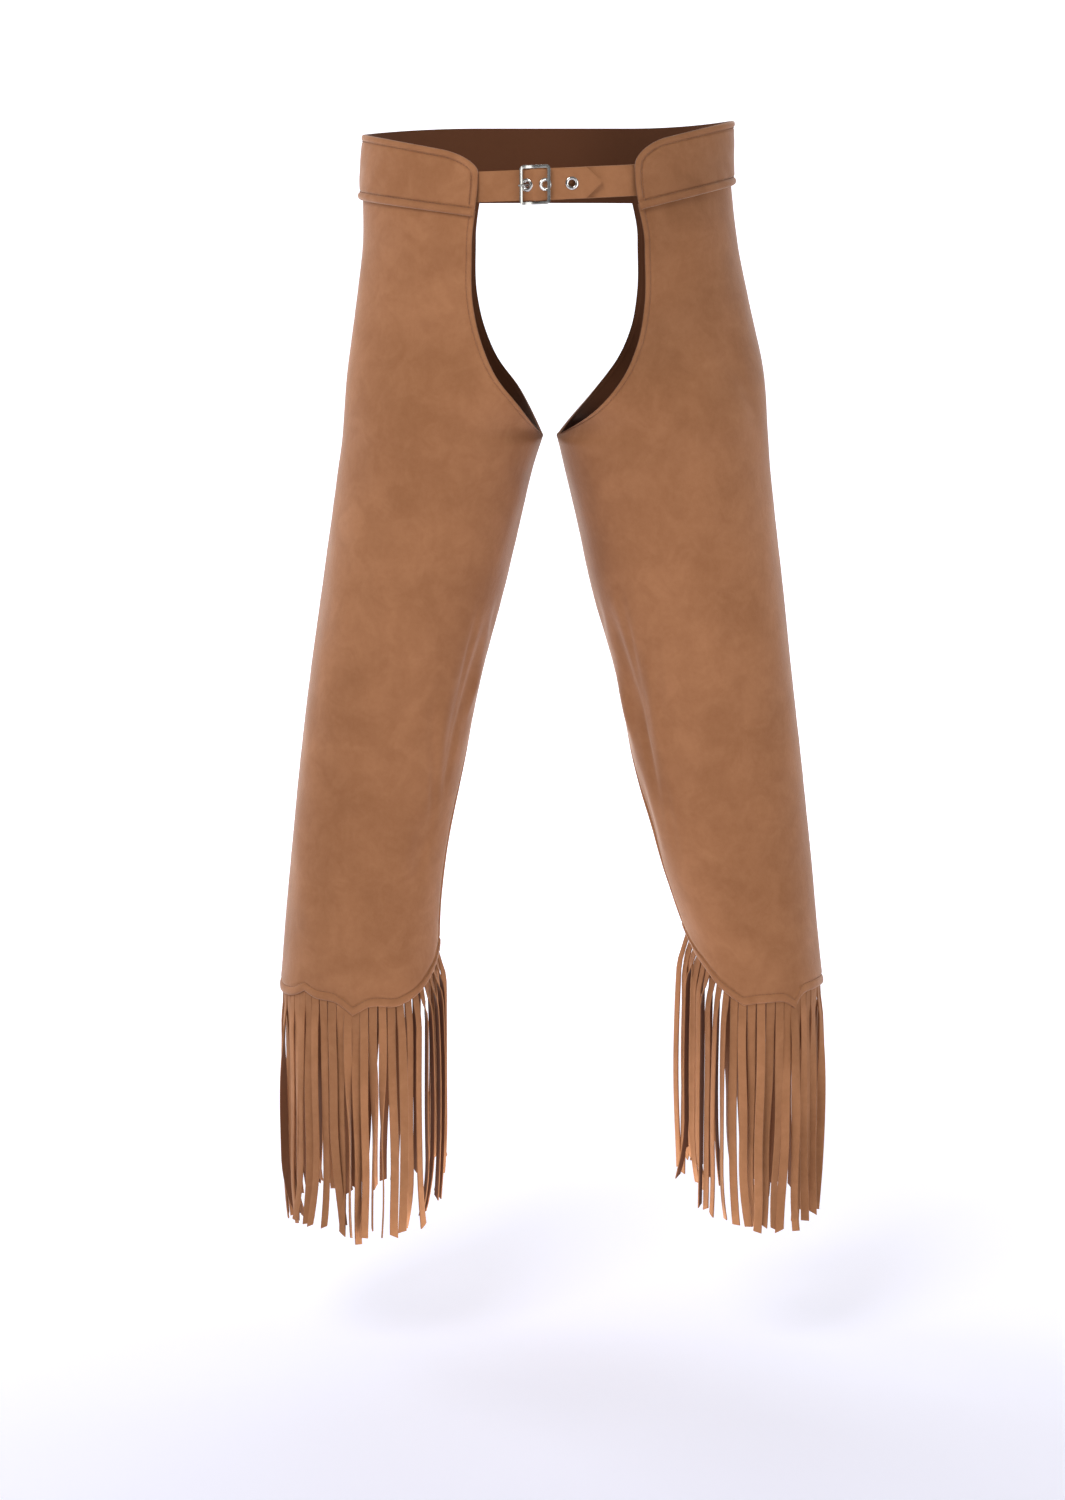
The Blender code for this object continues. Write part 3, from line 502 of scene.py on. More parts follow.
def shell_mesh(name: str, outer: np.ndarray, inner: np.ndarray) -> bpy.types.Mesh:
    """Make a closed mesh of a cloth's outer and inner faces with a rim round them.

    Args:
        name: The mesh's name.
        outer: The outer face's points as rows, columns and coordinates.
        inner: The inner face's points, in the same order.

    Returns:
        The mesh, with a mask that is 1 on the inner face.
    """
    rows, columns = outer.shape[:2]
    faces = grid_quads(rows, columns)
    index = np.arange(rows * columns).reshape(rows, columns)
    rim = np.concatenate([index[0], index[1:, -1], index[-1, -2::-1], index[-2:0:-1, 0]])
    after = np.roll(rim, -1)
    size = rows * columns
    sides = np.stack([rim, after, after + size, rim + size], axis=-1)
    quads = np.concatenate([faces, faces[:, ::-1] + size, sides])
    mesh = bpy.data.meshes.new(name)
    points = np.concatenate([outer.reshape(-1, 3), inner.reshape(-1, 3)])
    mesh.from_pydata(points.tolist(), [], quads.tolist())
    wrong_side_and_shade = mesh.attributes.new("inside", "FLOAT", "POINT")
    wrong_side_and_shade.data.foreach_set("value", np.repeat([0.0, 1.0], size).astype(np.float32))
    built = bmesh.new()
    built.from_mesh(mesh)
    bmesh.ops.recalc_face_normals(built, faces=built.faces[:])
    built.to_mesh(mesh)
    built.free()
    smooth_faces(mesh)
    return mesh


def add_tube(built: bmesh.types.BMesh, rings: Sequence[Sequence[bmesh.types.BMVert]]) -> None:
    """Join rings of points into a closed tube."""
    sides = len(rings[0])
    for one, two in zip(rings, rings[1:]):
        for k in range(sides):
            built.faces.new((one[k], two[k], two[(k + 1) % sides], one[(k + 1) % sides]))
    built.faces.new(rings[0])
    built.faces.new(rings[-1][::-1])


def thicken(piece: bpy.types.Object, wall: float, offset: float = -1.0) -> None:
    """Give a sheet its wall and apply it."""
    only(piece)
    solid = piece.modifiers.new("Wall", "SOLIDIFY")
    solid.thickness = wall
    solid.offset = offset
    solid.use_even_offset = True
    bpy.ops.object.modifier_apply(modifier=solid.name)


# Painted shade high on the wearer's left hip and thigh: where along X it starts and over which width, how
# much darker it gets from which height over which rise, and how patchy it is
PAINTED_SHADE_START = 0.010
PAINTED_SHADE_BLEND = 0.060
PAINTED_SHADE_STEPS: tuple[Spot, ...] = ((0.16, -0.33, 0.25), (0.06, -0.05, 0.05))
PAINTED_SHADE_PATCHES = Swell(0.25, 0.090, 21)


def paint_left_hip_shade(piece: bpy.types.Object) -> None:
    """Paint shade into the cloth's colour high on the wearer's left hip and thigh, as a shade attribute."""
    spots = np.empty(len(piece.data.vertices) * 3)
    piece.data.vertices.foreach_get("co", spots)
    spots = spots.reshape(-1, 3)
    aside = eased((spots[:, 0] - PAINTED_SHADE_START) / PAINTED_SHADE_BLEND)
    high = sum(darker * eased((spots[:, 2] - start) / rise) for darker, start, rise in PAINTED_SHADE_STEPS)
    shade = piece.data.attributes.new("shade", "FLOAT", "POINT")
    shade.data.foreach_set("value", aside * high * (1 + PAINTED_SHADE_PATCHES.at(spots)))


def ride(piece: bpy.types.Object, slot: str, *nodes: str) -> None:
    """Fix a piece to the garment, hide the nodes that it stands for and log its faces."""
    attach(piece, "root")
    if nodes:
        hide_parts(*nodes)
    LOG.info("%s: %d faces", piece.name, len(piece.data.polygons))


def feed(tree: bpy.types.NodeTree, node: bpy.types.Node, values: NodeValues) -> None:
    """Give a node's inputs their values or the results of other nodes."""
    for label, value in values.items():
        if isinstance(value, bpy.types.NodeSocket):
            tree.links.new(value, node.inputs[label])
        else:
            node.inputs[label].default_value = value


def add_node(
    tree: bpy.types.NodeTree, kind: str, settings: dict[str, object] | None = None,
    values: NodeValues | None = None,
) -> bpy.types.Node:
    """Add a node to a tree.

    Args:
        tree: The node tree.
        kind: The node's type.
        settings: Its settings, which are set before its values.
        values: The values of its inputs, or the results that they take.

    Returns:
        The node.
    """
    node = tree.nodes.new(kind)
    for label, value in (settings or {}).items():
        setattr(node, label, value)
    feed(tree, node, values or {})
    return node


def add_sum(tree: bpy.types.NodeTree, kind: str, one: object, two: object) -> bpy.types.NodeSocket:
    """Add a sum of two numbers or results, and return its result."""
    return add_node(tree, "ShaderNodeMath", {"operation": kind}, {0: one, 1: two}).outputs["Value"]


def add_mix(tree: bpy.types.NodeTree, share: object, one: object, two: object) -> bpy.types.NodeSocket:
    """Add a mix of two colours, and return its result."""
    values = {"Factor": share, "A": one, "B": two}
    return add_node(tree, "ShaderNodeMix", {"data_type": "RGBA"}, values).outputs["Result"]


def add_range(
    tree: bpy.types.NodeTree, source: bpy.types.NodeSocket, given: Span, made: Span = (0.0, 1.0)
) -> bpy.types.NodeSocket:
    """Add a node that turns one range of values into another, and return its result."""
    return add_node(tree, "ShaderNodeMapRange", values={
        "Value": source, "From Min": given[0], "From Max": given[1], "To Min": made[0], "To Max": made[1],
    }).outputs["Result"]


def new_material(name: str) -> tuple[bpy.types.Material, bpy.types.NodeTree, bpy.types.Node]:
    """Return a new material with its node tree and its shader."""
    made = bpy.data.materials.new(name)
    made.use_nodes = True
    return made, made.node_tree, made.node_tree.nodes["Principled BSDF"]


@dataclass(frozen=True)
class Grain:
    """One layer of the mottled nap: a noise, its share of the whole, and how it is spread."""

    scale: float
    detail: float
    roughness: float
    share: float
    distortion: float = 0.0
    spread: Span | None = None

    def layer(self, tree: bpy.types.NodeTree, place: bpy.types.NodeSocket) -> bpy.types.NodeSocket:
        """Add the layer's nodes and return its value."""
        noise = add_node(tree, "ShaderNodeTexNoise", values={
            "Scale": self.scale, "Detail": self.detail, "Roughness": self.roughness,
            "Distortion": self.distortion, "Vector": place}).outputs["Fac"]
        if self.spread is None:
            return noise
        return add_node(tree, "ShaderNodeMapRange", {"interpolation_type": "SMOOTHSTEP"}, {
            "From Min": self.spread[0], "From Max": self.spread[1], "Value": noise}).outputs["Result"]


@dataclass(frozen=True)
class SuedeNap:
    """The shared effect of brushed suede: mottled nap, fibre, a soft height and painted shade, as one node
    group.
    """

    name: str = "suede_nap"
    cloud: Grain = Grain(11.0, 3.0, 0.55, 0.34, 0.6, (0.36, 0.66))
    patch: Grain = Grain(38.0, 4.0, 0.60, 0.30, 0.8, (0.34, 0.70))
    speck: Grain = Grain(210.0, 3.0, 0.65, 0.16, spread=(0.30, 0.72))
    fibre: Grain = Grain(1500.0, 2.0, 0.7, 0.20)
    fibre_stretch: Spot = (1.0, 1.0, 0.35)
    middle: float = 0.5
    roughness: float = 0.96
    patch_roughness: float = -0.08
    fibre_height: float = 0.55
    speck_height: float = 0.45

    def group(self) -> bpy.types.NodeTree:
        """Return the node group, made once."""
        found = bpy.data.node_groups.get(self.name)
        if found:
            return found
        tree = bpy.data.node_groups.new(self.name, "ShaderNodeTree")
        for label, kind, value in (
            ("Light nap", "NodeSocketColor", (0.5, 0.3, 0.2, 1)),
            ("Dark nap", "NodeSocketColor", (0.3, 0.15, 0.1, 1)),
            ("Wrong side and shade", "NodeSocketColor", (0.1, 0.05, 0.03, 1)),
            ("Inside", "NodeSocketFloat", 0.0),
            ("Shade", "NodeSocketFloat", 0.0),
            ("Mottle", "NodeSocketFloat", 1.0),
        ):
            made = tree.interface.new_socket(label, in_out="INPUT", socket_type=kind)
            made.default_value = value
        for label, kind in (("Colour", "NodeSocketColor"), ("Roughness", "NodeSocketFloat"),
                            ("Height", "NodeSocketFloat")):
            tree.interface.new_socket(label, in_out="OUTPUT", socket_type=kind)
        given = add_node(tree, "NodeGroupInput").outputs
        place = add_node(tree, "ShaderNodeTexCoord").outputs["Object"]
        stretched = add_node(tree, "ShaderNodeMapping", values={"Scale": self.fibre_stretch, "Vector": place})
        patch, speck = self.patch.layer(tree, place), self.speck.layer(tree, place)
        fibre = self.fibre.layer(tree, stretched.outputs["Vector"])
        mottled = add_sum(tree, "MULTIPLY", self.cloud.layer(tree, place), self.cloud.share)
        for value, grain in ((patch, self.patch), (speck, self.speck), (fibre, self.fibre)):
            mottled = add_sum(tree, "ADD", mottled, add_sum(tree, "MULTIPLY", value, grain.share))
        centred = add_sum(tree, "SUBTRACT", mottled, self.middle)
        share = add_sum(tree, "ADD", add_sum(tree, "MULTIPLY", centred, given["Mottle"]), self.middle)
        nap = add_mix(tree, share, given["Dark nap"], given["Light nap"])
        # The inner face takes the wrong side colour, which holds painted shade as well
        turned = add_mix(tree, given["Inside"], nap, given["Wrong side and shade"])
        # The Shade input darkens the colour: random strand tone, painted shadow under the hem and painted
        # shade on the wearer's left hip
        toned = add_node(tree, "ShaderNodeVectorMath", {"operation": "SCALE"}, {
            0: turned, "Scale": add_sum(tree, "SUBTRACT", 1.0, given["Shade"])})
        add_node(tree, "NodeGroupOutput", values={
            "Colour": toned.outputs["Vector"],
            "Roughness": add_sum(
                tree, "ADD", add_sum(tree, "MULTIPLY", patch, self.patch_roughness), self.roughness),
            "Height": add_sum(
                tree, "ADD", add_sum(tree, "MULTIPLY", fibre, self.fibre_height),
                add_sum(tree, "MULTIPLY", speck, self.speck_height)),
        })
        return tree


@dataclass(frozen=True)
class SuedeFinish:
    """Brushed faux suede in a light and a dark shade of nap."""

    name: str
    light: Spot
    dark: Spot
    # The wrong side's darker colour is partly its own and partly painted shade, as on the shaded back strands
    wrong_side_and_shade: Spot = (0.150, 0.058, 0.027)
    mottle: float = 0.80
    gloss: float = 0.12
    sheen: float = 0.60
    sheen_roughness: float = 0.35
    sheen_tint: Spot = (1.0, 0.84, 0.74)
    bump: float = 0.35
    bump_height: float = 0.00035

    def material(self) -> bpy.types.Material:
        """Return the finish as a material."""
        made, tree, shader = new_material(self.name)
        masks = {label.capitalize(): add_node(tree, "ShaderNodeAttribute", {"attribute_name": label})
                 for label in ("inside", "shade")}
        nap = add_node(tree, "ShaderNodeGroup", {"node_tree": SuedeNap().group()}, {
            "Light nap": (*self.light, 1), "Dark nap": (*self.dark, 1),
            "Wrong side and shade": (*self.wrong_side_and_shade, 1), "Mottle": self.mottle,
            **{label: mask.outputs["Fac"] for label, mask in masks.items()}}).outputs
        bump = add_node(tree, "ShaderNodeBump", values={
            "Strength": self.bump, "Distance": self.bump_height, "Height": nap["Height"]})
        feed(tree, shader, {
            "Base Color": nap["Colour"], "Roughness": nap["Roughness"], "Normal": bump.outputs["Normal"],
            "Specular IOR Level": self.gloss, "Sheen Weight": self.sheen,
            "Sheen Roughness": self.sheen_roughness, "Sheen Tint": (*self.sheen_tint, 1)})
        return made


@dataclass(frozen=True)
class ThreadFinish:
    """Matt sewing thread that matches the cloth."""

    name: str = "thread"
    colour: Spot = (0.30, 0.135, 0.062)
    worn: Spot = (0.20, 0.085, 0.038)
    twist: float = 1900.0
    roughness: float = 0.8

    def material(self) -> bpy.types.Material:
        """Return the finish as a material."""
        made, tree, shader = new_material(self.name)
        place = add_node(tree, "ShaderNodeTexCoord").outputs["Object"]
        twist = add_node(tree, "ShaderNodeTexNoise", values={"Scale": self.twist, "Vector": place})
        mixed = add_mix(tree, twist.outputs["Fac"], (*self.worn, 1), (*self.colour, 1))
        feed(tree, shader, {"Base Color": mixed, "Roughness": self.roughness})
        return made


@dataclass(frozen=True)
class MetalFinish:
    """Polished silver-coloured metal with fine wear."""

    name: str
    colour: Spot = (0.62, 0.60, 0.57)
    polish: float = 0.10
    dull: float = 0.26
    wear: float = 420.0
    wear_detail: float = 4.0
    bump: float = 0.10
    bump_height: float = 0.0001

    def material(self) -> bpy.types.Material:
        """Return the finish as a material."""
        made, tree, shader = new_material(self.name)
        place = add_node(tree, "ShaderNodeTexCoord").outputs["Object"]
        wear = add_node(tree, "ShaderNodeTexNoise", values={
            "Scale": self.wear, "Detail": self.wear_detail, "Vector": place}).outputs["Fac"]
        bump = add_node(tree, "ShaderNodeBump", values={
            "Strength": self.bump, "Distance": self.bump_height, "Height": wear})
        feed(tree, shader, {
            "Base Color": (*self.colour, 1), "Metallic": 1.0, "Normal": bump.outputs["Normal"],
            "Roughness": add_range(tree, wear, (0.0, 1.0), (self.polish, self.dull))})
        return made


@dataclass
class LegPanel:
    """A front or back panel of one leg, with turned edges that are topstitched.

    Its rows run from under the yoke to the hem and its columns from the side seam to the inner edge.
    Both are closest along the edges.
    """

    side: Side
    face: Face
    material: bpy.types.Material
    band: EdgeBand = EdgeBand()
    opening_band: EdgeBand = EdgeBand(line=0.0045, puff=0.0005, groove=0.0007, lip=0.0005)
    step: float = 0.0045
    top_rows: int = 8
    low_rows: int = 17
    samples: int = 161
    edge_offsets: tuple[float, ...] = (
        0.0, 0.0005, 0.0012, 0.0026, 0.0045, 0.0060, 0.0068, 0.0075, 0.0082, 0.0092, 0.0115)
    opening_offsets: tuple[float, ...] = (
        0.0, 0.0005, 0.0012, 0.0024, 0.0033, 0.0039, 0.0045, 0.0052, 0.0062, 0.0082, 0.0115)
    seam_offsets: tuple[float, ...] = (0.0, 0.0006, 0.0014, 0.0026, 0.0045)
    body_start: float = 0.035
    body_end: float = 0.90
    body_columns: int = 60
    yoke_tuck: float = 0.0045
    body_top: float = -0.050
    body_bottom: float = -0.615
    join_reach: float = 0.004
    join_ease: float = 0.008
    part_reach: float = 0.02
    part_ease: float = 0.03
    inseam: Dip = Dip(0.0005, 0.0012)
    side_seam: Dip = Dip(0.0006, 0.0014)
    side_roll: float = 0.0002
    side_roll_place: float = 0.004
    side_roll_width: float = 0.002
    swells: tuple[Swell, ...] = (Swell(0.0011, 0.120, 3), Swell(0.0004, 0.045, 4))
    swell_ease: float = 0.03
    pucker: Swell = Swell(0.00016, 0.011, 5)
    pucker_width: float = 0.005
    calm: float = 0.02
    calm_depth: float = 0.0004
    inner_share: float = 0.5
    inner_clearance: float = 0.0001
    stitch_from: int = 2
    upper_end: float = CROTCH + 0.010
    lower_start: float = KNEE - 0.045

    @property
    def form(self) -> LegForm:
        """The rings that the panel lies on."""
        return LegForm(self.side)

    @property
    def name(self) -> str:
        """The panel's name."""
        return f"leg_{self.face.value}_{self.side.value}"

    def hem(self, across: np.ndarray) -> np.ndarray:
        """Return the hem's heights at shares of the panel's width."""
        stretches = HEMS[self.side, self.face]
        height = read_curve(stretches[0], across)
        for stretch in stretches[1:]:
            height = np.where(across > stretch[0][0], read_curve(stretch, across), height)
        return height

    def kinks(self) -> list[float]:
        """Return where the hem has its notch and its point."""
        return [stretch[0][0] for stretch in HEMS[self.side, self.face][1:]]

    def row_heights(self) -> list[Callable[[np.ndarray], np.ndarray]]:
        """Return a function for each row, which gives its heights at shares of the width."""
        yoke = YOKES[self.side]
        rows: list[Callable[[np.ndarray], np.ndarray]] = []
        for share in np.arange(self.top_rows) / self.top_rows:
            rows.append(lambda across, share=share: (yoke.low(self.face, across) + self.yoke_tuck)
                        * (1 - share) + self.body_top * share)
        for start, end in ((self.body_top, CROTCH), (CROTCH, self.body_bottom)):
            count = math.ceil((start - end) / self.step)
            for k in range(count):
                level = start + (end - start) * k / count
                rows.append(lambda across, level=level: np.full(np.shape(across), level))
        far = self.edge_offsets[-1]
        for share in np.arange(self.low_rows) / self.low_rows:
            rows.append(lambda across, share=share: self.body_bottom * (1 - share)
                        + (self.hem(across) + far) * share)
        for offset in reversed(self.edge_offsets):
            rows.append(lambda across, offset=offset: self.hem(across) + offset)
        return rows

    def row_places(self, heights: Callable[[np.ndarray], np.ndarray]) -> tuple[np.ndarray, np.ndarray]:
        """Return the shares of the width of a row's points, and their distances from the inner edge."""
        samples = np.linspace(0, 1, self.samples)
        levels = heights(samples)
        line = self.form.point(self.face, self.form.panel_turn(self.face, samples, levels), levels)
        line[:, 2] = levels.mean()
        run = lengths_along(line)
        seam = np.interp(self.seam_offsets, run, samples)
        edge = np.interp(run[-1] - np.array(self.opening_offsets[::-1]), run, samples)
        body = np.linspace(self.body_start, self.body_end, self.body_columns)
        for kink in self.kinks():
            body[np.argmin(np.abs(body - kink))] = kink
        between = self.body_end + (edge[0] - self.body_end) * np.array([1 / 3, 2 / 3])
        places = np.concatenate([seam, body, between, edge])
        return places, run[-1] - np.interp(places, samples, run)

    def build(self) -> bpy.types.Object:
        """Make the panel."""
        from_edge, from_hem, levels, turns = [], [], [], []
        for heights in self.row_heights():
            places, distance = self.row_places(heights)
            level = heights(places)
            slope = np.gradient(self.hem(places), places * distance.max() + TINY)
            levels.append(level)
            turns.append(self.form.panel_turn(self.face, places, level))
            from_edge.append(distance)
            from_hem.append((level - self.hem(places)) / np.sqrt(1 + slope**2))
        level, turn = np.array(levels), np.array(turns)
        lift = self.relief(level, turn, np.array(from_edge), np.array(from_hem))
        self.grid = self.form.point(self.face, turn, level, lift)
        inner_lift = np.minimum(lift, 0.0) * self.inner_share - LEG_WALL + self.inner_clearance
        inner = self.form.point(self.face, turn, level, inner_lift)
        self.piece = new_piece(f"{self.name}_cloth", shell_mesh(self.name, self.grid, inner), self.material)
        shade_smooth(self.piece, RIM_ANGLE)
        paint_left_hip_shade(self.piece)
        ride(self.piece, "suede", self.name)
        return self.piece

    def relief(
        self, level: np.ndarray, turn: np.ndarray, to_edge: np.ndarray, to_hem: np.ndarray
    ) -> np.ndarray:
        """Return how far the panel stands out of its rings.

        Args:
            level: The points' heights.
            turn: Their turns from the side seam.
            to_edge: Their distances from the inner edge.
            to_hem: Their distances from the hem.

        Returns:
            The relief of the edge bands, the seams and the uneven cloth.
        """
        flat = self.form.point(self.face, turn, level)
        joined = eased((CROTCH + self.join_reach - level) / self.join_ease)
        joined = joined * (1 - eased((KNEE - self.part_reach - level) / self.part_ease))
        hem_relief = self.band.relief(to_hem)
        edge_relief = self.opening_band.relief(to_edge) * (1 - joined)
        lift = np.where(np.abs(hem_relief) > np.abs(edge_relief), hem_relief, edge_relief)
        to_seam = to_edge.max(axis=1, keepdims=True) - to_edge
        lift += self.inseam.at(to_edge) * joined + self.side_seam.at(to_seam)
        lift += self.side_roll * bell(to_seam - self.side_roll_place, self.side_roll_width)
        near = np.minimum(np.minimum(to_edge, to_hem), to_seam)
        free = eased((level.max(axis=0, keepdims=True) - level) / self.calm)
        swell = sum(one.at(flat) for one in self.swells) * eased(near / self.swell_ease)
        pucker = self.pucker.at(flat) * bell(near - self.band.line, self.pucker_width)
        return lift + (swell + pucker) * free - self.calm_depth * (1 - free)

    def stitch_lines(self) -> list[Line]:
        """Return the lines of topstitching, each with the directions out of the cloth."""
        hem_row = self.grid.shape[0] - 1 - self.edge_offsets.index(self.band.line)
        edge_column = self.grid.shape[1] - 1 - self.opening_offsets.index(self.opening_band.line)
        hem = self.grid[hem_row, self.stitch_from:edge_column + 1]
        side = self.grid[:hem_row + 1, edge_column]
        upper = side[side[:, 2] > self.upper_end]
        lower = side[side[:, 2] < self.lower_start]
        return [(line, self.normals_near(line)) for line in (hem, upper, lower)]

    def normals_near(self, line: np.ndarray) -> np.ndarray:
        """Return the level directions out of the leg along a line."""
        middle, half, _ = self.form.ring(line[:, 2])
        deep = self.form.depth(self.face, line[:, 2])
        across = (line[:, 0] - middle * self.side.sign) / half**2
        way = np.stack([across, line[:, 1] / deep**2, np.zeros(len(line))], axis=-1)
        return way / np.linalg.norm(way, axis=-1, keepdims=True)

    def declare(self, with_pieces: Sequence[bpy.types.Object]) -> None:
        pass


@dataclass
class Yoke:
    """A hip yoke: a doubled band of suede round the hip, from its front end to the middle of the back.

    Its way round runs from 0 at the front end to 1 at the side, 2 over the back panel's inner edge and
    3 at the middle of the back. Its columns are closest at the front end and at the back seam.
    """

    side: Side
    material: bpy.types.Material
    step: float = 0.0011
    rows: int = 62
    samples: int = 900
    end_columns: int = 22
    end_reach: float = 0.010
    end_gap: float = 0.0005
    seam_offsets: tuple[float, ...] = (0.0030, 0.0020, 0.0013, 0.0008, 0.0004, 0.0)
    seam_gap: float = 0.0035
    top_band: EdgeBand = EdgeBand(line=0.0056, puff=0.0006, groove=0.0010, lip=0.0006)
    low_band: EdgeBand = EdgeBand(line=0.0068, puff=0.0014, groove=0.0011, lip=0.0008)
    low_reach: float = 1.3
    corner: Span = (0.002, 0.009)
    end_line: float = 0.0048
    seam_dip: Dip = Dip(0.0007, 0.0010)
    swells: tuple[Swell, ...] = (Swell(0.0006, 0.050, 11), Swell(0.00025, 0.018, 12))
    swell_ease: float = 0.012
    pucker: Swell = Swell(0.00018, 0.010, 13)
    pucker_line: float = 0.007
    pucker_width: float = 0.004
    unevenness: float = 0.8
    clearance: float = 0.0003
    inner_clearance: float = 0.0001
    stitch_depth: float = 0.0001
    lower_from: int = 8
    flat_height: float = 0.066
    measured_row: int = 20

    @property
    def form(self) -> LegForm:
        """The rings that the yoke lies on."""
        return LegForm(self.side)

    def edges(self, way: np.ndarray) -> tuple[np.ndarray, np.ndarray]:
        """Return the lower and upper edge heights along the yoke's way round."""
        cut = YOKES[self.side]
        front = np.clip(1 - way, 0, 1)
        back = np.clip(way - 1, 0, 1)
        low = np.where(way < 1, cut.low(Face.FRONT, front), cut.low(Face.BACK, back))
        top = np.where(way < 1, cut.top(Face.FRONT, front), cut.top(Face.BACK, back))
        return low, top

    def place(self, way: np.ndarray, height: np.ndarray, lift: Values) -> np.ndarray:
        """Return points of the yoke.

        Args:
            way: The places on the yoke's way round.
            height: The heights.
            lift: How far out of the rings the points lie.

        Returns:
            The points, with their coordinates on the last axis.
        """
        form = self.form
        front_turn = form.panel_turn(Face.FRONT, np.clip(1 - way, 0, 1), height)
        front = form.point(Face.FRONT, front_turn, height, lift)
        edge = form.edge_turn(Face.BACK, height)
        turn = form.panel_turn(Face.BACK, np.clip(way - 1, 0, 1), height)
        turn = np.where(way > 2, edge + (way - 2) * (math.pi / 2 - edge), turn)
        back = form.point(Face.BACK, turn, height, lift)
        return np.where((way < 1)[..., None], front, back)

    def build(self) -> bpy.types.Object:
        """Make the yoke."""
        samples = np.linspace(0, 3, self.samples)
        low, top = self.edges(samples)
        run = lengths_along(self.place(samples, (low + top) / 2, 0.0) * np.array([1, 1, 0]))
        self.spots = self.columns(run[-1])
        self.way = np.interp(self.spots, run, samples)
        low, top = self.edges(self.way)
        share = np.linspace(0, 1, self.rows)[:, None]
        height = low + (top - low) * share
        ways = np.broadcast_to(self.way, height.shape)
        outline = np.stack([run, np.interp(samples, self.way, top)], axis=-1)
        spot = np.stack([np.broadcast_to(self.spots, height.shape), height], axis=-1)
        relief = self.relief(self.place(ways, height, 0.0), height - low, spot, outline)
        self.grid = self.place(ways, height, GAP + YOKE_WALL + self.clearance + relief)
        inner = self.place(ways, height, np.full(height.shape, GAP + self.inner_clearance))
        mesh = shell_mesh(f"yoke_{self.side.value}", self.grid, inner)
        self.piece = new_piece(f"yoke_{self.side.value}_cloth", mesh, self.material)
        shade_smooth(self.piece, RIM_ANGLE)
        paint_left_hip_shade(self.piece)
        ride(self.piece, "suede", f"yoke_{self.side.value}")
        return self.piece

    def columns(self, length: float) -> np.ndarray:
        """Return where along the yoke's length its columns of points lie."""
        spacing = np.linspace(0, length, math.ceil(length / self.step))
        fine = np.linspace(0, self.end_reach, self.end_columns)
        kept = (spacing > self.end_reach + self.end_gap) & (spacing < length - self.seam_gap)
        return np.concatenate([fine, spacing[kept], length - np.array(self.seam_offsets)])

    def relief(
        self, flat: np.ndarray, to_low: np.ndarray, spot: np.ndarray, outline: np.ndarray
    ) -> np.ndarray:
        """Return how far the yoke stands out.

        Args:
            flat: The points of the yoke with no relief.
            to_low: Their distances from the lower edge.
            spot: The same points laid flat, as a length and a height.
            outline: The upper edge, laid flat in the same way.

        Returns:
            The relief at each point.
        """
        to_end = spot[..., 0]
        scaled = np.minimum(self.distance(spot, outline), to_end * self.top_band.line / self.end_line)
        relief = self.top_band.relief(scaled)
        low_relief = self.low_band.relief(to_low)
        mixed = np.where(to_low < self.low_band.line * self.low_reach, low_relief, relief)
        cornered = (scaled < self.corner[0]) & (to_low < self.corner[1])
        mixed = np.where(cornered, np.minimum(low_relief, relief), mixed)
        near = np.minimum(to_low, scaled)
        swell = sum(one.at(flat) for one in self.swells) * eased(near / self.swell_ease)
        pucker = self.pucker.at(flat) * bell(near - self.pucker_line, self.pucker_width)
        return mixed + (swell + pucker) * self.unevenness + self.seam_dip.at(outline[-1, 0] - to_end)

    @staticmethod
    def distance(spots: np.ndarray, outline: np.ndarray) -> np.ndarray:
        """Return the distance of each flat spot from an outline of points."""
        nearest = np.full(spots.shape[:-1], np.inf)
        for start, end in zip(outline[:-1:2], outline[2::2]):
            way = end - start
            size = float(way @ way)
            if size == 0:
                continue
            share = np.clip(((spots - start) @ way) / size, 0, 1)
            gap = spots - (start + share[..., None] * way)
            nearest = np.minimum(nearest, np.hypot(gap[..., 0], gap[..., 1]))
        return nearest

    def stitch_lines(self) -> list[Line]:
        """Return the yoke's lines of topstitching, each with the directions out of the cloth."""
        low, top = self.edges(self.way)
        flat_top = np.stack([self.spots, top], axis=-1)
        tangent = np.gradient(flat_top, axis=0)
        tangent /= np.linalg.norm(tangent, axis=1, keepdims=True)
        normal = np.stack([tangent[:, 1], -tangent[:, 0]], axis=-1)
        steep = np.abs(tangent[:, 1])
        inset = self.top_band.line * (1 - steep) + self.end_line * steep
        inner = flat_top + normal * inset[:, None]
        inner = inner[inner[:, 0] > self.end_line]
        start = np.array([[self.end_line, low[0] + self.low_band.line]])
        upper = np.concatenate([start, inner])
        lower = np.stack([self.spots, low + self.low_band.line], axis=-1)[self.lower_from:]
        lines = []
        for line in (upper, lower):
            way = np.interp(line[:, 0], self.spots, self.way)
            height = line[:, 1]
            points = self.place(way, height, GAP + YOKE_WALL - self.stitch_depth)
            out = self.place(way, height, GAP + 2 * YOKE_WALL) - points
            lines.append((points, out / np.linalg.norm(out, axis=1, keepdims=True)))
        return lines

    def declare(self, with_pieces: Sequence[bpy.types.Object]) -> None:
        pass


@dataclass
class Stitching:
    """Topstitching: short raised stitches along lines on the cloth, joined into one mesh.

    A stitch is a flattened bead. Its rings hold a share of its length and a share of its radius.
    """

    name: str
    material: bpy.types.Material
    pitch: float = 0.0031
    length: float = 0.0025
    radius: float = 0.00032
    flatness: float = 0.8
    stand: float = 0.0001
    sides: int = 5
    rings: Rows = ((-0.5, 0.15), (-0.36, 0.85), (0.0, 1.0), (0.36, 0.85), (0.5, 0.15))

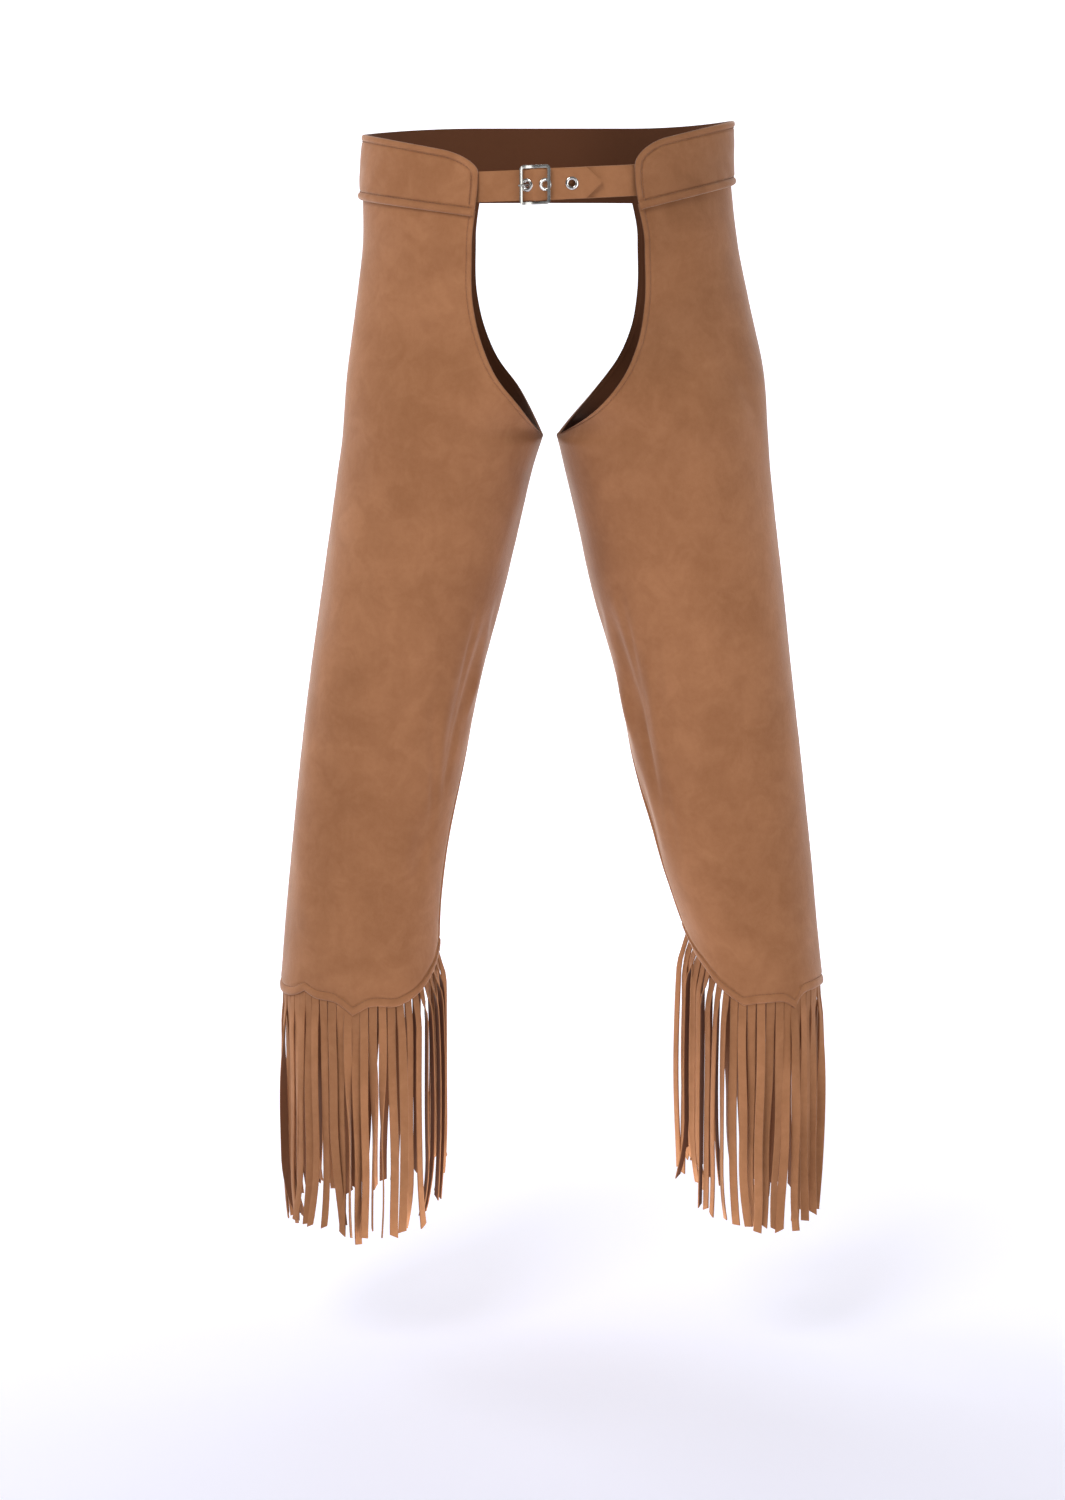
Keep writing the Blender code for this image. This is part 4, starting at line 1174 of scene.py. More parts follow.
    def build(self, lines: Sequence[Line]) -> bpy.types.Object:
        """Make the stitches along lines of points with outward directions."""
        verts: list[np.ndarray] = []
        quads: list[tuple[int, ...]] = []
        for points, outs in lines:
            run = lengths_along(points)
            for k in range(int(run[-1] / self.pitch)):
                middle = (k + 0.5) * self.pitch
                shifts = (-self.length / 2, self.length / 2)
                ends = [read_line(middle + shift, run, points) for shift in shifts]
                self.add_stitch(verts, quads, ends, read_line(middle, run, outs))
        mesh = bpy.data.meshes.new(self.name)
        mesh.from_pydata(np.array(verts).reshape(-1, 3).tolist(), [], quads)
        smooth_faces(mesh)
        piece = new_piece(self.name, mesh, self.material)
        ride(piece, "suede")
        return piece

    def add_stitch(
        self, verts: list[np.ndarray], quads: list[tuple[int, ...]], ends: Sequence[np.ndarray],
        out: np.ndarray,
    ) -> None:
        """Add one stitch between two ends."""
        along = ends[1] - ends[0]
        size = np.linalg.norm(along)
        if size < SAME:
            return
        along /= size
        side = np.cross(along, out)
        side /= np.linalg.norm(side)
        up = np.cross(side, along)
        middle = (ends[0] + ends[1]) / 2
        first = len(verts)
        for place, wide in self.rings:
            centre = middle + along * place * self.length + up * self.stand
            for k in range(self.sides):
                turn = 2 * math.pi * k / self.sides
                way = side * math.cos(turn) + up * math.sin(turn) * self.flatness
                verts.append(centre + self.radius * wide * way)
        for ring in range(len(self.rings) - 1):
            for k in range(self.sides):
                a = first + ring * self.sides + k
                b = first + ring * self.sides + (k + 1) % self.sides
                quads.append((a, b, b + self.sides, a + self.sides))
        quads.append(tuple(first + k for k in reversed(range(self.sides))))
        last = first + (len(self.rings) - 1) * self.sides
        quads.append(tuple(last + k for k in range(self.sides)))


@dataclass(frozen=True)
class StrandFall:
    """How one strand falls: its sizes, and how far it sways, bellies, twists and curls."""

    lean: float
    length: float
    width: float
    swing: float
    wave: float
    wave_turn: float
    stagger: float
    belly: float
    curl: float
    twist: float
    twist_from: float
    cup: float
    shade: float
    slant: float
    flare: float


@dataclass
class Fringe:
    """The strands under one hem: strips cut from one band of suede, each with its own fall.

    A span holds the least and the most that a strand draws. A strand is steep where the hem that it
    hangs from rises, and loose where nothing beside it holds it.
    """

    panel: LegPanel
    material: bpy.types.Material
    seed: int
    pitch: float = 0.0085
    width: float = 0.0078
    length: float = 0.215
    header_low: float = 0.003
    header_high: float = 0.012
    header_span: Span = (0.004, 0.996)
    header_steps: int = 120
    top_length: float = 0.0107
    top_share: float = 0.6
    top_rings: int = 3
    top_rise: float = 0.006
    steep_from: float = 0.60
    steep_ease: float = 0.20
    slope_reach: float = 0.06
    turn_reach: float = 0.004
    stations: int = 24
    samples: int = 801
    edge_flare: float = 0.0085
    edge_shown: float = 0.50
    edge_lean: float = 0.25
    edge_turns: int = 8
    edge_turn: float = 85
    free_from: int = 3
    loose_lean: float = 0.30
    turned_share: float = 0.30
    turned: Span = (55, 120)
    skewed_share: float = 0.60
    skewed: Span = (20, 45)
    flat: Span = (0, 15)
    curled_share: float = 0.55
    curl: Span = (0.002, 0.010)
    length_share: Span = (0.972, 1.018)
    width_share: Span = (0.90, 1.03)
    swing: float = 0.0042
    swing_strands: int = 9
    swing_shift: Span = (-0.3, 0.3)
    swing_own: Span = (-0.0030, 0.0030)
    swing_power: float = 1.7
    wave: Span = (0.0004, 0.0016)
    wave_least: float = 0.4
    wave_count: float = 1.4
    stagger: float = 0.0017
    stagger_lean: float = 0.5
    stagger_ease: float = 0.14
    belly: Span = (-0.0015, 0.0045)
    twist_from: Span = (0.02, 0.35)
    cup: Span = (-0.5, 0.9)
    cup_depth: float = 0.0006
    shade: Span = (-0.04, 0.10)
    slant: Span = (-0.0022, 0.0022)
    flare_share: Span = (0.75, 1.45)
    flare_ease: float = 0.13
    curl_from: float = 0.72
    late_start: float = 0.4
    late_ease: float = 0.55
    root_ease: float = 0.10
    # Painted shadow that darkens each strand's root just under the hem band
    root_painted_shade: float = 0.12
    steep_lean: Span = (0.15, 0.45)
    steep_narrow: float = 0.30
    narrow_ease: float = 0.2
    section: Rows = (
        (-1.0, 0.0), (-0.93, 1.0), (-0.35, 1.0), (0.35, 1.0), (0.93, 1.0),
        (1.0, 0.0), (0.93, -1.0), (0.35, -1.0), (-0.35, -1.0), (-0.93, -1.0),
    )

    def hem_points(self, across: np.ndarray, rise: Values, lift: float) -> np.ndarray:
        """Return points near the hem, at a rise above it and a lift out of the rings."""
        form, face = self.panel.form, self.panel.face
        height = self.panel.hem(across) + rise
        return form.point(face, form.panel_turn(face, across, height), height, lift)

    def places(self) -> np.ndarray:
        """Return the shares of the hem's width where the strands' middles are."""
        samples = np.linspace(0, 1, self.samples)
        run = lengths_along(self.hem_points(samples, 0.0, 0.0))
        count = int(run[-1] / self.pitch)
        middles = (np.arange(count) + 0.5) * run[-1] / count
        return np.interp(middles, run, samples)

    def slope(self, across: np.ndarray) -> np.ndarray:
        """Return how steeply the hem rises to its inner edge, evened out over a few strands."""
        start = np.clip(across - self.slope_reach, 0, 1)
        end = np.clip(across + self.slope_reach, 0, 1)
        step = self.hem_points(end, 0.0, 0.0) - self.hem_points(start, 0.0, 0.0)
        steep = np.arctan2(np.maximum(0.0, step[:, 2]), np.hypot(step[:, 0], step[:, 1]))
        return steep * eased((across - self.steep_from) / self.steep_ease)

    def build(self) -> bpy.types.Object:
        """Make the header strip and all the strands as one mesh."""
        draws = random.Random(self.seed)
        built = bmesh.new()
        masks = (built.verts.layers.float.new("inside"), built.verts.layers.float.new("shade"))
        places = self.places()
        for number, (across, slope) in enumerate(zip(places, self.slope(places))):
            self.add_strand(built, masks, number, float(across), float(slope), draws)
        self.add_header(built)
        bmesh.ops.recalc_face_normals(built, faces=built.faces[:])
        name = f"fringe_{self.panel.face.value}_{self.panel.side.value}"
        mesh = bpy.data.meshes.new(name)
        built.to_mesh(mesh)
        built.free()
        smooth_faces(mesh)
        piece = new_piece(f"{name}_strands", mesh, self.material)
        shade_smooth(piece, CUT_ANGLE)
        ride(piece, "strand_suede", name)
        return piece

    def add_header(self, built: bmesh.types.BMesh) -> None:
        """Add the strip behind the hem that the strands hang from."""
        samples = np.linspace(*self.header_span, self.header_steps)
        outer = -(LEG_WALL + GAP)
        corners = ((self.header_low, outer), (self.header_high, outer),
                   (self.header_high, outer - STRAND_WALL), (self.header_low, outer - STRAND_WALL))
        lines = [self.hem_points(samples, rise, lift) for rise, lift in corners]
        rings = [[built.verts.new(line[k]) for line in lines] for k in range(len(samples))]
        add_tube(built, rings)

    def fall(self, number: int, slope: float, along_turn: float, draws: random.Random) -> StrandFall:
        """Draw how one strand falls.

        Args:
            number: The strand's number from the side seam.
            slope: How steeply the hem rises there.
            along_turn: The hem's direction there, as a turn from the X axis.
            draws: The random draws of this fringe.

        Returns:
            The strand's own length, width, sways, twist and curl.
        """
        lean = math.sin(slope)
        free = min(1.0, number / self.free_from)
        loose = free * (1 - ease(lean / self.loose_lean))
        way = draws.choice((-1, 1))
        kind = draws.random()
        if lean > self.edge_lean:
            turns = [math.radians(draws.uniform(-self.edge_turn, self.edge_turn))
                     for _ in range(self.edge_turns)]
            shown = [abs(math.cos(along_turn + turn)) for turn in turns]
            twist = min(zip(turns, shown), key=lambda pair: abs(pair[1] - self.edge_shown))[0]
        elif kind < self.turned_share:
            twist = math.radians(draws.uniform(*self.turned)) * way
        elif kind < self.skewed_share:
            twist = math.radians(draws.uniform(*self.skewed)) * way
        else:
            twist = math.radians(draws.uniform(*self.flat)) * way
        curled = draws.random() < self.curled_share
        curl = draws.choice((-1, -1, 1)) * draws.uniform(*self.curl) if curled else 0.0
        return StrandFall(
            lean=lean,
            length=self.length * draws.uniform(*self.length_share) - self.top_length,
            width=self.width * draws.uniform(*self.width_share),
            swing=self.swing * loose
            * math.sin(2 * math.pi * number / self.swing_strands + draws.uniform(*self.swing_shift))
            + draws.uniform(*self.swing_own) * loose,
            wave=draws.uniform(*self.wave) * max(loose, self.wave_least * free),
            wave_turn=draws.uniform(0, 2 * math.pi),
            stagger=self.stagger * (1 - ease(lean / self.stagger_lean)) * (1 if number % 2 else -1),
            belly=draws.uniform(*self.belly),
            curl=-abs(curl) if number < self.free_from else curl,
            twist=twist * free,
            twist_from=draws.uniform(*self.twist_from),
            cup=draws.uniform(*self.cup) * self.cup_depth,
            shade=draws.uniform(*self.shade),
            slant=draws.uniform(*self.slant),
            flare=self.edge_flare * lean * draws.uniform(*self.flare_share),
        )

    def root_frame(self, across: float) -> tuple[Vector, Vector, Vector, Vector]:
        """Return a strand's root, the hem's way there, that way made level, and the way out of the leg."""
        lift = -(LEG_WALL + GAP + STRAND_WALL / 2)
        near = np.array([across - self.turn_reach, across + self.turn_reach])
        pair = self.hem_points(near, self.header_low, lift)
        along = Vector(pair[1] - pair[0])
        hem_way = along.normalized()
        along.z = 0
        along.normalize()
        root = Vector(pair.mean(axis=0))
        middle = self.panel.form.ring(np.array(root.z))[0] * self.panel.side.sign
        outward = Vector((-along.y, along.x, 0))
        if outward.dot(Vector((root.x - float(middle), root.y, 0))) < 0:
            outward = -outward
        return root, hem_way, along, outward

    def add_strand(
        self, built: bmesh.types.BMesh, masks: tuple[object, object], number: int, across: float,
        slope: float, draws: random.Random,
    ) -> None:
        """Add one hanging strand.

        Args:
            built: The mesh in the making.
            masks: The layers that hold each point's inside mask and its shade: the strand's random tone plus
                painted shadow under the hem.
            number: The strand's number from the side seam.
            across: Its share of the hem's width.
            slope: How steeply the hem rises there.
            draws: The random draws of this fringe.
        """
        inside, shade = masks
        root, hem_way, along, outward = self.root_frame(across)
        turn_way = 1 if along.x * outward.y - along.y * outward.x > 0 else -1
        own = self.fall(number, slope, math.atan2(along.y, along.x) * turn_way, draws)
        across_hem = hem_way.cross(outward)
        if across_hem.z > 0:
            across_hem = -across_hem
        fall = (across_hem * own.lean + Vector((0, 0, -1)) * (1 - own.lean)).normalized()
        last = self.stations + self.top_rings - 1
        rings = []
        for k in range(last + 1):
            if k < self.top_rings:
                part = k / self.top_rings
                share, turned = 0.0, 0.0
                rise = Vector((0, 0, self.top_rise)) * (1 - part)
                centre = root + rise + fall * self.top_length * part * self.top_share
                wide = hem_way.lerp(along, part).normalized()
            else:
                share = (k - self.top_rings + 1) / self.stations
                drop = Vector((0, 0, -own.length * share))
                centre = root + fall * self.top_length * self.top_share + drop
                centre += outward * self.stand_out(own, share) + along * self.stand_aside(own, share)
                turned = self.turn(own, share)
                wide = along * math.cos(turned) + outward * math.sin(turned)
            out_now = outward * math.cos(turned) - along * math.sin(turned)
            narrow = self.steep_narrow * own.lean * (1 - ease(share / self.narrow_ease))
            ring = []
            for place, level in self.section:
                cupped = own.cup * (1 - place * place) * ease(share / self.root_ease)
                spot = centre + wide * place * own.width * (1.0 - narrow) / 2
                spot += out_now * (level * STRAND_WALL / 2 + cupped)
                if k == last:
                    spot.z += own.slant * place
                vert = built.verts.new(spot)
                vert[inside] = max(0.0, -level)
                # Shade: the strand's own random tone plus painted shadow near its root, under the hem
                vert[shade] = own.shade + self.root_painted_shade * (1 - ease(share / self.root_ease))
                ring.append(vert)
            rings.append(ring)
        add_tube(built, rings)

    def stand_out(self, own: StrandFall, share: float) -> float:
        """Return how far a strand stands out of its line at a share of its length."""
        out = own.stagger * ease(share / self.stagger_ease)
        out += own.flare * math.sin(math.pi / 2 * min(1, share / self.flare_ease))
        tip = max(0.0, (share - self.curl_from) / (1 - self.curl_from))
        return out + own.belly * math.sin(math.pi * share) + own.curl * tip * tip

    def stand_aside(self, own: StrandFall, share: float) -> float:
        """Return how far a strand sways along the hem at a share of its length."""
        wave = own.wave * math.sin(2 * math.pi * share * self.wave_count + own.wave_turn) * share
        return own.swing * share**self.swing_power + wave

    def turn(self, own: StrandFall, share: float) -> float:
        """Return how far a strand has twisted at a share of its length."""
        late = ease((share - own.twist_from * self.late_start) / self.late_ease)
        early = ease(share / self.root_ease)
        low, high = self.steep_lean
        steep = ease((own.lean - low) / (high - low))
        return own.twist * (late * (1 - steep) + early * steep)


@dataclass(frozen=True)
class BeltForm:
    """The line of the belt across the front, in the same sizes as the part's source.

    A band is a row of places across the front, each with how far the strap stands out there.
    """

    width: float = 0.025
    rise: float = 0.0415
    middle: float = 0.0012
    waist_right: float = 0.1596
    waist_left: float = 0.1543
    waist_depth: float = 0.102
    bar: float = -0.01295
    bar_stand: float = 0.0031
    loop: float = 0.0023
    frame_left: float = -0.0244
    frame_right: float = -0.0015
    frame_height: float = 0.0298
    frame_stand: float = 0.0076
    frame_bow: float = 0.0045
    wire: float = 0.00125
    slope_reach: float = 0.0005
    eyelets: tuple[float, ...] = (-0.0193, -0.0047, 0.0174)
    point_band: Rows = ((-0.080, -0.0029), (-0.066, -0.0029), (-0.056, -0.0004), (-0.040, 0.0012),
                        (-0.0290, 0.0021), (-0.0244, 0.0026), (-0.0193, 0.0047), (-0.0130, 0.0074),
                        (-0.0068, 0.0055), (-0.0047, 0.0047), (-0.0015, 0.0037), (0.012, 0.0034),
                        (0.0415, 0.0030))
    buckle_band: Rows = ((0.090, -0.0030), (0.067, -0.0028), (0.052, -0.0007), (0.0, -0.0005),
                         (-0.0060, -0.0003))
    fold_back: Rows = ((-0.0076, 0.0035), (-0.0045, 0.0022), (-0.0015, 0.0015), (0.012, 0.0014))

    def point(self, along: Values, out: Values, up: Values) -> np.ndarray:
        """Return points of the belt.

        Args:
            along: The places across the front, towards the wearer's left.
            out: How far in front of the waist the points stand.
            up: How far above the belt's middle line they are.

        Returns:
            The points, with their coordinates on the last axis.
        """
        along, out, up = np.broadcast_arrays(*(np.asarray(x, float) for x in (along, out, up)))
        half = np.where(along > 0, self.waist_left, self.waist_right)
        depth = self.waist_depth * (1 - np.abs(along / half) ** OVAL) ** (1 / OVAL)
        return np.stack([along, -depth - out, self.middle + self.rise * along + up], axis=-1)

    def slope(self, along: float) -> float:
        """Return the turn about the vertical of the point band at a place."""
        before, after = (self.point(at, read_curve(self.point_band, at), 0.0)
                         for at in (along - self.slope_reach, along + self.slope_reach))
        return math.atan2(after[1] - before[1], after[0] - before[0])


@dataclass
class Straps:
    """The two belt straps: one with the point and its eyelet holes, one folded round the buckle's bar."""

    form: BeltForm
    material: bpy.types.Material
    tip_start: float = 0.0295
    tip_end: float = 0.0415
    tip_blunt: float = 0.0016
    step: float = 0.0011
    rim_rows: tuple[float, ...] = (0.0, 0.0004, 0.0012)
    face_rows: Span = (0.0026, 0.0125)
    face_row_count: int = 6
    rounding: float = 0.0004
    rounding_width: float = 0.0006
    swell: float = 0.00022
    swell_wavelength: float = 0.016
    swell_ease: float = 0.004
    point_seed: int = 21
    buckle_seed: int = 23
    hole: float = 0.0036
    hole_sides: int = 32
    hole_depth: float = 0.012
    fold_steps: int = 14
    back_rows: int = 18
    slot_deep: float = 3.4
    slot_tall: float = 0.0036
    measured_row: int = 8

    def rows(self, half: np.ndarray) -> np.ndarray:
        """Return the heights of the rows from a strap's lower to its upper edge."""
        inner = np.linspace(*self.face_rows, self.face_row_count)
        low = np.concatenate([self.rim_rows, inner]) / self.face_rows[1]
        shares = np.concatenate([-1 + low, (1 - low[:-1])[::-1]])
        return shares[:, None] * half

    def relief(self, up: np.ndarray, half: np.ndarray, seed: int, spots: np.ndarray) -> np.ndarray:
        """Return how far the strap stands out: rounded edges and a soft uneven face."""
        near = half - np.abs(up)
        edge = -self.rounding * bell(near, self.rounding_width)
        swell = Swell(self.swell, self.swell_wavelength, seed).at(spots)
        return edge + swell * eased(near / self.swell_ease)

    def point_strap(self) -> bpy.types.Object:
        """Make the strap with the point."""
        form = self.form
        start, end = form.point_band[0][0], form.point_band[-1][0]
        along = np.linspace(start, end, math.ceil((end - start) / self.step))
        half = np.full(len(along), form.width / 2)
        tapered = (along - self.tip_start) / (self.tip_end - self.tip_start)
        half = np.where(along > self.tip_start, half - (half - self.tip_blunt) * tapered, half)
        up = self.rows(half)
        out = np.broadcast_to(read_curve(form.point_band, along), up.shape)
        relief = self.relief(up, half, self.point_seed, form.point(along, out, up))
        grid = form.point(along, out + STRAP_WALL / 2 + relief, up)
        piece = self.finish("strap_point", grid)
        for place in form.eyelets:
            self.punch(piece, place)
        ride(piece, "suede", "strap_point")
        self.declare(piece, grid)
        return piece

    def buckle_strap(self) -> bpy.types.Object:
        """Make the strap that folds round the buckle's bar."""
        form = self.form
        line = self.folded_line()
        half = np.full(len(line), form.width / 2)
        up = self.rows(half)
        normal = np.gradient(line, axis=0)
        normal /= np.linalg.norm(normal, axis=1, keepdims=True)
        side = np.stack([normal[:, 1], -normal[:, 0]], axis=-1)
        relief = self.relief(up, half, self.buckle_seed, form.point(line[:, 0], line[:, 1], up))
        shift = STRAP_WALL / 2 + np.minimum(0.0, relief)
        grid = form.point(line[:, 0] - side[:, 0] * shift, line[:, 1] - side[:, 1] * shift, up)
        piece = self.finish("strap_buckle", grid)
        only(piece)
        slot = form.point(form.bar - form.loop, form.bar_stand, 0)
        bpy.ops.mesh.primitive_cube_add(size=1, location=tuple(slot))
        cutter = bpy.context.object
        cutter.scale = (2 * form.loop - form.wire, self.slot_deep * form.loop, self.slot_tall)
        self.cut(piece, cutter)
        ride(piece, "suede", "strap_buckle")
        self.declare(piece, grid)
        return piece

    def folded_line(self) -> np.ndarray:
        """Return the buckle strap's line, seen from above, from the yoke round the bar and back."""
        form = self.form
        start, end = form.buckle_band[0][0], form.buckle_band[-1][0]
        count = math.ceil((start - end) / self.step)
        path = [(at, float(read_curve(form.buckle_band, at))) for at in np.linspace(start, end, count)]
        turns = -math.pi / 2 - math.pi * np.arange(0, self.fold_steps + 1) / self.fold_steps
        path += [(form.bar + form.loop * math.cos(turn), form.bar_stand + form.loop * math.sin(turn))
                 for turn in turns]
        fold = np.linspace(form.fold_back[0][0], form.fold_back[-1][0], self.back_rows)
        path += [(at, float(read_curve(form.fold_back, at))) for at in fold]
        return np.array(path)

    def finish(self, name: str, grid: np.ndarray) -> bpy.types.Object:
        """Make a strap's mesh from its outer face and give it its wall."""
        mesh = grid_mesh(name, grid)
        first_rows = len(mesh.polygons) // 12
        if mesh.polygons[first_rows].normal.y > 0:
            mesh.flip_normals()
        piece = new_piece(f"{name}_cloth", mesh, self.material)
        thicken(piece, STRAP_WALL)
        return piece

    def punch(self, piece: bpy.types.Object, place: float) -> None:
        """Punch an eyelet hole."""
        form = self.form
        spot = form.point(place, read_curve(form.point_band, place), 0.0)
        only(piece)
        bpy.ops.mesh.primitive_cylinder_add(
            radius=self.hole, depth=self.hole_depth, vertices=self.hole_sides, location=tuple(spot),
            rotation=(math.pi / 2, 0, form.slope(place)))
        self.cut(piece, bpy.context.object)

    @staticmethod
    def cut(piece: bpy.types.Object, cutter: bpy.types.Object) -> None:
        """Cut a piece with another and remove the cutter."""
        only(piece)
        hole = piece.modifiers.new("Hole", "BOOLEAN")
        hole.operation = "DIFFERENCE"
        hole.object = cutter
        bpy.ops.object.modifier_apply(modifier=hole.name)
        bpy.data.objects.remove(cutter, do_unlink=True)
        shade_smooth(piece, HOLE_ANGLE)

    def declare(self, piece: bpy.types.Object, grid: np.ndarray) -> None:
        """Do nothing with a strap and its grid."""


@dataclass
class Buckle:
    """The buckle's frame, bar, prong and the strap's eyelets."""

    form: BeltForm
    frame_metal: bpy.types.Material
    eyelet_metal: bpy.types.Material
    flatness: float = 0.92
    corner: float = 0.0034
    corner_steps: int = 6
    inner_corner: float = 0.0014
    inner_corner_steps: int = 4
    bow_steps: int = 12
    rounding: float = 0.00085
    rounding_steps: int = 3
    lip: float = 0.0040
    lip_section: float = 0.00125
    lip_stand: float = 0.0011
    lip_press: Spot = (1.04, 1.04, 0.55)
    lip_steps: int = 14
    barrel: float = 0.0029
    barrel_wall: float = 0.0003
    barrel_depth: float = 0.0022
    barrel_middle: float = 0.0003
    round_steps: int = 48

    def frame_piece(self) -> bpy.types.Object:
        """Model the frame: a flat block, opened, with its corners and edges rounded, then bowed."""
        form = self.form
        wire = 2 * form.wire
        wide = form.frame_right - form.frame_left + wire
        tall = form.frame_height + wire
        only(next(iter(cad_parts.values())))
        bpy.ops.object.select_all(action="DESELECT")
        bpy.ops.mesh.primitive_cube_add(size=1)
        piece = bpy.context.object
        piece.name = "buckle_frame_metal"
        bpy.ops.object.mode_set(mode="EDIT")
        bpy.ops.mesh.select_all(action="SELECT")
        bpy.ops.transform.resize(value=(wide, wire * self.flatness, tall))
        self.pick(piece, lambda face: abs(face.normal.y) > 0.9)
        bpy.ops.mesh.inset(thickness=wire, depth=0)
        bpy.ops.mesh.bridge_edge_loops()
        self.pick_edges(piece, lambda a, b: self.runs_through(a, b) and abs(a.x) > wide / 2 - NEAR)
        bpy.ops.mesh.bevel(offset=self.corner, segments=self.corner_steps, affect="EDGES")
        self.pick_edges(piece, lambda a, b: self.runs_through(a, b) and abs(a.x) < wide / 2 - wire + NEAR
                        and abs(abs(a.z) - (tall / 2 - wire)) < NEAR)
        bpy.ops.mesh.bevel(offset=self.inner_corner, segments=self.inner_corner_steps, affect="EDGES")
        for k in range(1, self.bow_steps):
            bpy.ops.mesh.select_all(action="SELECT")
            cut_at = -wide / 2 + wide * k / self.bow_steps
            if self.corner < wide / 2 - abs(cut_at):
                bpy.ops.mesh.bisect(plane_co=(cut_at, 0, 0), plane_no=(1, 0, 0))
        bpy.ops.object.mode_set(mode="OBJECT")
        rounded = piece.modifiers.new("Rounded", "BEVEL")
        rounded.width = self.rounding
        rounded.segments = self.rounding_steps
        rounded.limit_method = "ANGLE"
        rounded.angle_limit = CUT_ANGLE
        bpy.ops.object.modifier_apply(modifier=rounded.name)
        self.bow(piece)
        shade_smooth(piece, WIRE_ANGLE)
        piece.data.materials.clear()
        piece.data.materials.append(self.frame_metal)
        ride(piece, "silver", "buckle_frame")
        return piece

    def bow(self, piece: bpy.types.Object) -> None:
        """Place the flat frame on the belt, bowed in towards its middle bar."""
        form = self.form
        centre = (form.frame_left + form.frame_right) / 2
        half = (form.frame_right - form.frame_left) / 2
        for vert in piece.data.vertices:
            along = centre + vert.co.x
            share = min(1.0, abs(vert.co.x) / half)
            stand = form.frame_stand - form.frame_bow * (1 - share**2) - vert.co.y
            vert.co = Vector(form.point(along, stand, vert.co.z))
        piece.data.update()

    @staticmethod
    def runs_through(one: Vector, two: Vector) -> bool:
        """Return whether an edge runs from the frame's front to its back."""
        return abs(one.x - two.x) < SAME and abs(one.z - two.z) < SAME

    @staticmethod
    def pick(piece: bpy.types.Object, test: Callable[[bmesh.types.BMFace], bool]) -> None:
        """Select only the faces that pass a test."""
        bpy.ops.mesh.select_all(action="DESELECT")
        bpy.ops.mesh.select_mode(type="FACE")
        built = bmesh.from_edit_mesh(piece.data)
        built.normal_update()
        for face in built.faces:
            face.select_set(bool(test(face)))
        bmesh.update_edit_mesh(piece.data)

    @staticmethod
    def pick_edges(piece: bpy.types.Object, test: Callable[[Vector, Vector], bool]) -> None:
        """Select only the edges whose ends pass a test."""
        bpy.ops.mesh.select_mode(type="EDGE")
        bpy.ops.mesh.select_all(action="DESELECT")
        built = bmesh.from_edit_mesh(piece.data)
        for edge in built.edges:
            edge.select_set(bool(test(edge.verts[0].co, edge.verts[1].co)))
        bmesh.update_edit_mesh(piece.data)

    def copied(self, node: str) -> bpy.types.Object:
        """Make a smooth copy of a small metal node."""
        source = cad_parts[node]
        piece = new_piece(f"{node}_metal", source.data.copy(), self.frame_metal)
        only(piece)
        bpy.ops.object.mode_set(mode="EDIT")
        bpy.ops.mesh.select_all(action="SELECT")
        bpy.ops.mesh.remove_doubles(threshold=NEAR)
        bpy.ops.object.mode_set(mode="OBJECT")
        shade_smooth(piece, CUT_ANGLE)
        ride(piece, "silver", node)
        return piece

    def eyelet(self, number: int, place: float) -> bpy.types.Object:
        """Model an eyelet: a rolled lip and a barrel through the strap."""
        form = self.form
        spot = form.point(place, read_curve(form.point_band, place), 0.0)
        turn = Matrix.Translation(Vector(spot)) @ Matrix.Rotation(form.slope(place), 4, "Z")
        turn = turn @ Matrix.Rotation(math.pi / 2, 4, "X")
        centre = (0, 0, self.lip_stand)
        bpy.ops.object.select_all(action="DESELECT")
        bpy.ops.mesh.primitive_torus_add(
            major_radius=self.lip, minor_radius=self.lip_section, major_segments=self.round_steps,
            minor_segments=self.lip_steps, location=centre)
        lip = bpy.context.object
        bpy.ops.object.mode_set(mode="EDIT")
        bpy.ops.mesh.select_all(action="SELECT")
        bpy.ops.transform.resize(value=self.lip_press, center_override=centre)
        bpy.ops.object.mode_set(mode="OBJECT")
        bpy.ops.object.transform_apply(location=True, rotation=True, scale=True)
        bpy.ops.mesh.primitive_cylinder_add(
            radius=self.barrel, depth=self.barrel_depth, vertices=self.round_steps,
            end_fill_type="NOTHING", location=(0, 0, self.barrel_middle))
        barrel = bpy.context.object
        bpy.ops.object.transform_apply(location=True, rotation=True, scale=True)
        wall = barrel.modifiers.new("Wall", "SOLIDIFY")
        wall.thickness = self.barrel_wall
        wall.offset = 1
        bpy.ops.object.modifier_apply(modifier=wall.name)
        lip.select_set(True)
        bpy.context.view_layer.objects.active = lip
        bpy.ops.object.join()
        lip.data.transform(turn)
        lip.name = f"eyelet_{number}_metal"
        shade_smooth(lip, CUT_ANGLE)
        lip.data.materials.clear()
        lip.data.materials.append(self.eyelet_metal)
        ride(lip, "silver", f"eyelet_{number}")
        return lip


@dataclass(frozen=True)
class Lamp:
    """A soft box: its place, size and power, and the point that it faces."""

    name: str
    place: Spot
    size: Span
    power: float
    target: Spot

    def build(self) -> None:
        """Add the soft box, which the camera doesn't see."""
        lamp = bpy.data.lights.new(self.name, "AREA")
        lamp.shape = "RECTANGLE"
        lamp.size, lamp.size_y = self.size
        lamp.energy = self.power
        holder = bpy.data.objects.new(self.name, lamp)
        holder.visible_camera = False
        holder.location = self.place
        way = Vector(self.target) - Vector(self.place)
        holder.rotation_euler = way.to_track_quat("-Z", "Y").to_euler()
        bpy.context.scene.collection.objects.link(holder)


